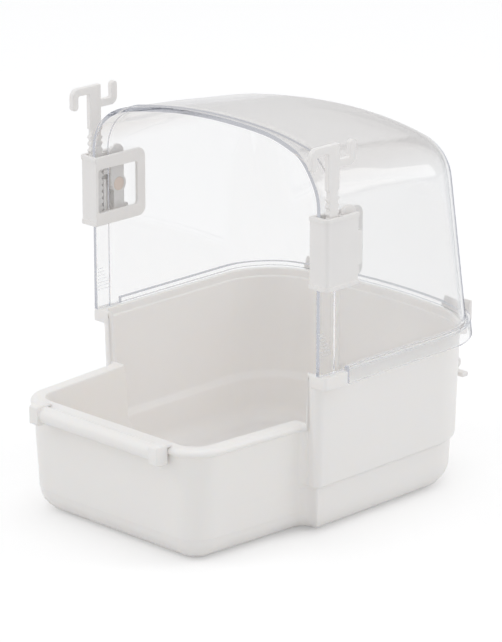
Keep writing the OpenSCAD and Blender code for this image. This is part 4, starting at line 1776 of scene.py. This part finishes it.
@dataclass
class CatchLever(Piece):
    """Lever with a round thumb tab, an eye round its pin, a foot, and a nose that reaches to the teeth.

    Attributes:
        pivot: Place of its pin.
        width: Width of the thumb tab.
        front: Place of its front edge along Y.
        top: Height of its top.
        foot_z: Height of its lower end.
        eye: Wall round the pin.
        leg_in: Setback of the leg from the front edge.
        foot_l: Reach of the foot behind the leg.
        foot_h: Height of the foot.
        foot_r: Radius of the foot's corners.
        nose_rise: Height of the nose above the pin.
        nose_h: Thickness of the nose.
        nose_y0: Front end of the nose along Y.
        nose_lap: How far the nose runs into the lever.
    """

    tag = Tag("catch_lever", "pawl", "pawl", FITTING_WHITE)
    pivot: CatchPivot
    width: float = 7.7
    front: float = 12.0
    top: float = 138.9
    foot_z: float = 109.5
    eye: float = 1.3
    leg_in: float = 1.6
    foot_l: float = 2.2
    foot_h: float = 3.1
    foot_r: float = 0.8
    nose_rise: float = 5
    nose_h: float = 2
    nose_y0: float = 9.0
    nose_lap: float = 2

    def outline(self) -> list[Point2]:
        """Outline of the lever, anticlockwise from the foot."""
        back = self.front + self.width
        leg = self.front + self.leg_in
        ring = self.pivot.radius + self.eye
        rear_turn = math.degrees(math.acos((back - self.pivot.y) / ring))
        front_turn = math.degrees(math.acos((self.pivot.y - leg) / ring))
        half = self.width / 2
        centre = (self.pivot.y, self.pivot.z)
        foot_r = self.foot_r
        toe = back + self.foot_l - foot_r
        points = [(leg, self.foot_z), (toe, self.foot_z)]
        points += arc((toe, self.foot_z + foot_r), foot_r, -90, 0, 4)[1:]
        points += arc((toe, self.foot_z + self.foot_h - foot_r), foot_r, 0, 90, 4)
        points += [(back, self.foot_z + self.foot_h)]
        points += arc(centre, ring, -rear_turn, rear_turn, 14)
        points += arc((self.front + half, self.top - half), half, 0, 180, 24)
        points += [(self.front, self.pivot.z)]
        points += arc(centre, ring, 180, 180 + front_turn, 8)
        return points

    def solid(self) -> Solid:
        """Lever with its pin hole and its nose.

        Returns:
            The whole lever.
        """
        x0 = self.plan.hx + self.plan.band_t + self.plan.gap
        hole = arc((self.pivot.y, self.pivot.z), self.pivot.radius + self.pivot.play, 0, 351, 39)
        lever = Prism(self.outline(), x0, x0 + self.plan.lever_t, soften=0.3, holes=[hole]).solid()
        nose_x0 = self.plan.hx + self.plan.hook_set
        low = self.pivot.z + self.nose_rise
        nose = box_outline(self.nose_y0, low, self.front + self.nose_lap, low + self.nose_h, radius=0.3)
        return lever.join(Prism(nose, nose_x0, nose_x0 + self.plan.hook_t).solid())


@dataclass
class RearLatch(Piece):
    """Latch lever behind the tub: thumb plate, forked arm, step, and tab behind the hood's flange.

    Attributes:
        hinge: Place of its hinge.
        width: Width of the tab and the thumb plate.
        arm_w: Width of the arm and its fork.
        thickness: Thickness of the plate, arm and tab.
        plate_z: Height of the thumb plate.
        plate_l: Length of the thumb plate.
        arm_y: Place of the arm along Y.
        step_z: Height of the step.
        step_r: Radius of the step's rear corner.
        tab_lap: How far the arm runs up into the tab.
        eye_r: Radius of the eye round the pin.
        fork: Width of the fork.
        fork_l: Length of the fork's slot along Y.
        play: Play round the pin.
    """

    tag = Tag("rear_latch", "latch", "latch", FITTING_WHITE)
    hinge: LatchHinge
    width: float = 14
    arm_w: float = 8.4
    thickness: float = 2
    plate_z: float = 40.4
    plate_l: float = 4.8
    arm_y: float = 107.2
    step_z: float = 58.4
    step_r: float = 0.8
    tab_lap: float = 1.5
    eye_r: float = 2.4
    fork: float = 4.6
    fork_l: float = 12
    play: float = 0.05

    def __post_init__(self) -> None:
        """Take the tab's place from the frame."""
        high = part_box("right_latch")[1]
        self.tab_y1 = high[1] / MM - self.plan.shift
        self.top = high[2] / MM
        self.skirt = self.plan.rear_h + self.plan.gap - self.plan.lip_drop

    def arm_outline(self) -> list[Point2]:
        """Outline of the arm with its eye and step, anticlockwise from the lower end."""
        t = self.thickness
        y, z = self.hinge.y, self.hinge.z
        arm = self.arm_y
        inside = 0.05
        top = self.skirt + self.tab_lap
        rear_turn = math.degrees(math.acos((arm + t - y) / self.eye_r))
        front_turn = math.degrees(math.acos((y - arm) / self.eye_r))
        points = [(arm, self.plate_z + inside), (arm + t, self.plate_z + inside)]
        points += arc((y, z), self.eye_r, -rear_turn, rear_turn, 18)
        points += [(arm + t, self.step_z)]
        points += arc((self.tab_y1 - self.step_r - inside, self.step_z + self.step_r), self.step_r, -90, 0, 4)
        tab_y0 = self.tab_y1 - t + inside
        points += [(self.tab_y1 - inside, top), (tab_y0, top)]
        points += [(tab_y0, self.step_z + t), (arm, self.step_z + t)]
        points += arc((y, z), self.eye_r, 180 - front_turn, 180 + front_turn, 8)
        return points

    def across(self, outline: list[Point2], width: float, soften: float,
               holes: Sequence[list[Point2]] = ()) -> Solid:
        """Solid of a width that is centred on the hinge.

        Args:
            outline: Its outline seen from the side.
            width: Its width.
            soften: Radius of its rounded end edges.
            holes: Outlines of holes right through it.

        Returns:
            The solid.
        """
        x0 = self.hinge.x - width / 2
        return Prism(outline, x0, x0 + width, soften, holes).solid()

    def tab(self) -> Solid:
        """Wide tab behind the hood's flange."""
        y0, y1 = self.tab_y1 - self.thickness, self.tab_y1
        outline = rounded([(y0, self.skirt, 0.4), (y1, self.skirt, 0.4), (y1, self.top, 0.5),
                           (y0 + 0.4 * self.thickness, self.top, 0), (y0, self.top - self.thickness, 0)])
        return self.across(outline, self.width, soften=0.35)

    def plate(self) -> Solid:
        """Wide thumb plate at the arm's lower end."""
        top = self.plate_z + self.thickness
        outline = box_outline(self.hinge.y, self.plate_z, self.arm_y + self.plate_l, top, radius=0.6)
        return self.across(outline, self.width, soften=0.35)

    def solid(self) -> Solid:
        """Forked arm with its pin hole, tab and plate.

        Returns:
            The whole latch.
        """
        y, z = self.hinge.y, self.hinge.z
        hole = arc((y, z), self.hinge.radius + self.play, 0, 348, 29)
        latch = self.across(self.arm_outline(), self.arm_w, soften=0.3, holes=[hole])
        low = z - self.eye_r - self.plan.gap
        high = low + 2 * self.eye_r + self.thickness
        slot = box_outline(y - self.fork_l / 2, low, y + self.fork_l / 2, high, radius=0.4)
        latch.cut(self.across(slot, self.fork, soften=0.01))
        return latch.join(self.tab(), self.plate())


@dataclass
class Pins:
    """Small pins that stay as packed, dressed and with softened ends.

    Attributes:
        names: Node names of the pins without their side.
        soften: Radius of the softened ends in millimetres.
        soften_from: Angle in degrees from which an edge is softened.
        weld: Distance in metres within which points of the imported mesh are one.
    """

    names: tuple[str, ...] = ("pawl_pin", "latch_pin")
    soften: float = 0.2
    soften_from: float = 50
    weld: float = 1e-6

    def build(self, finishes: Finishes) -> None:
        """Dress the pins of both sides.

        Args:
            finishes: The finishes built so far.
        """
        for side in Side:
            for name in self.names:
                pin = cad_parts[side.node(name)]
                finishes.dress(pin, PIN_BEIGE if name == "pawl_pin" else FITTING_WHITE)
                weld = pin.modifiers.new("weld", "WELD")
                weld.merge_threshold = self.weld
                soften_edges(pin, "soft_ends", self.soften, self.soften_from)
                LOG.info("%s: kept as packed", pin.name)


@dataclass(frozen=True)
class Lamp:
    """Soft oblong lamp that faces the bath.

    Attributes:
        name: Name of the lamp.
        place: Place in metres.
        size: Width and height in metres.
        power: Power in watts.
        aim: Point in metres that it faces.
    """

    name: str
    place: tuple[float, float, float]
    size: Point2
    power: float
    aim: tuple[float, float, float] = (0, 0, 0.08)

    def build(self) -> None:
        """Hang the lamp."""
        data = bpy.data.lights.new(self.name, "AREA")
        data.shape = "RECTANGLE"
        data.size, data.size_y = self.size
        data.energy = self.power
        lamp = placed(self.name, data)
        lamp.location = self.place
        way = Vector(self.aim) - Vector(self.place)
        lamp.rotation_euler = way.to_track_quat("-Z", "Y").to_euler()


LAMPS = (
    Lamp("front", (-1.1, -1.3, 1.1), (1.2, 1.2), 4.4),
    Lamp("fill", (0.6, -0.9, 1.8), (1.0, 1.0), 1.3),
    Lamp("side", (1.15, 1.25, 1.05), (0.7, 1.9), 4.9),
    Lamp("top", (0.0, 0.1, 1.9), (1.0, 1.0), 3.7),
)


@dataclass
class Studio:
    """White studio: pale floor, soft lamps, white surroundings and the camera.

    Attributes:
        plan: Shared planes and widths.
        azimuth: Camera's turn round the bath in degrees, from the front towards the right.
        elevation: Camera's height in degrees.
        distance: Camera's distance from its aim in millimetres.
        lens: Focal length in millimetres.
        sensor: Width of the camera's sensor in millimetres.
        aim: Point that the camera looks at, in the build frame.
        sky: Strength of the light from the surroundings.
        sky_colour: Colour of that light, linear.
        floor_half: Half the width of the floor in metres.
        floor_tone: Grey of the floor, linear.
        floor_rough: Roughness of the floor.
        floor_lift: Light added to the floor where it is seen, so that it shows white.
    """

    plan: Layout
    azimuth: float = 44.42
    elevation: float = 17.84
    distance: float = 1418.6
    lens: float = 199.4
    sensor: float = 36
    aim: tuple[float, float, float] = (28.75, 0.0, 86.2)
    sky: float = 0.7
    sky_colour: Colour = (0.985, 0.99, 1)
    floor_half: float = 4
    floor_tone: float = 0.8
    floor_rough: float = 0.9
    floor_lift: float = 0.3

    def seen_directly(self, tree: bpy.types.NodeTree) -> bpy.types.NodeSocket:
        """Mask of rays from the camera, off gloss and through clear plastic.

        Args:
            tree: Node tree of the floor or the world.

        Returns:
            Socket that is 1 for such rays.
        """
        path = tree.nodes.new("ShaderNodeLightPath").outputs
        first = math_node(tree, "MAXIMUM", path["Is Camera Ray"], path["Is Glossy Ray"])
        return math_node(tree, "MAXIMUM", first, path["Is Transmission Ray"])

    def surroundings(self) -> None:
        """White surroundings that light the bath at a plain level."""
        world = bpy.data.worlds.new("studio")
        bpy.context.scene.world = world
        world.use_nodes = True
        tree = world.node_tree
        light = tree.nodes["Background"]
        light.inputs["Color"].default_value = (*self.sky_colour, 1)
        light.inputs["Strength"].default_value = self.sky
        backdrop = tree.nodes.new("ShaderNodeBackground")
        mix = mix_shaders(tree, self.seen_directly(tree), light.outputs[0], backdrop.outputs[0])
        tree.links.new(mix, tree.nodes["World Output"].inputs["Surface"])

    def floor(self) -> None:
        """Pale floor that shows white and keeps the shadow."""
        half = self.floor_half
        mesh = bpy.data.meshes.new("floor")
        corners = [(-half, -half, 0), (half, -half, 0), (half, half, 0), (-half, half, 0)]
        mesh.from_pydata(corners, [], [(0, 1, 2, 3)])
        floor = placed("floor", mesh)
        material, tree, shader = new_material("floor_white")
        shader.inputs["Base Color"].default_value = (*[self.floor_tone] * 3, 1)
        shader.inputs["Roughness"].default_value = self.floor_rough
        shader.inputs["Emission Color"].default_value = (1, 1, 1, 1)
        lift = math_node(tree, "MULTIPLY", self.seen_directly(tree), self.floor_lift)
        tree.links.new(lift, shader.inputs["Emission Strength"])
        mesh.materials.append(material)

    def camera(self) -> None:
        """Camera at the photograph's viewing angle."""
        turn = math.radians(self.azimuth)
        rise = math.radians(self.elevation)
        way = Vector((math.sin(turn) * math.cos(rise), -math.cos(turn) * math.cos(rise), math.sin(rise)))
        aim = (Vector(self.aim) + Vector((0, self.plan.shift, 0))) * MM
        data = bpy.data.cameras.new("camera")
        data.lens = self.lens
        data.sensor_width = self.sensor
        data.sensor_fit = "AUTO"
        camera = placed("camera", data)
        camera.location = aim + way * self.distance * MM
        camera.rotation_euler = (-way).to_track_quat("-Z", "Y").to_euler()
        bpy.context.scene.camera = camera

    def build(self) -> None:
        """Set up the whole studio."""
        bpy.context.scene.view_settings.view_transform = "Standard"
        self.surroundings()
        self.floor()
        for lamp in LAMPS:
            lamp.build()
        self.camera()


def main() -> None:
    """Build every piece in order, then the studio."""
    logging.basicConfig(level=logging.INFO, format="%(name)s: %(message)s")
    plan = Layout()
    finishes = Finishes()
    pivot = CatchPivot()
    hinge = LatchHinge(plan)
    for piece in (Tub(plan, hinge), PerchRail(plan), Hood(plan)):
        piece.build(finishes)
    pairs = (HookHolder(plan, pivot), CageHook(plan), CatchLever(plan, pivot), RearLatch(plan, hinge))
    for side in Side:
        for piece in pairs:
            piece.build(finishes, side)
    Pins().build(finishes)
    Studio(plan).build()
    LOG.info("sizes noted")


if __name__ == "__main__":
    main()
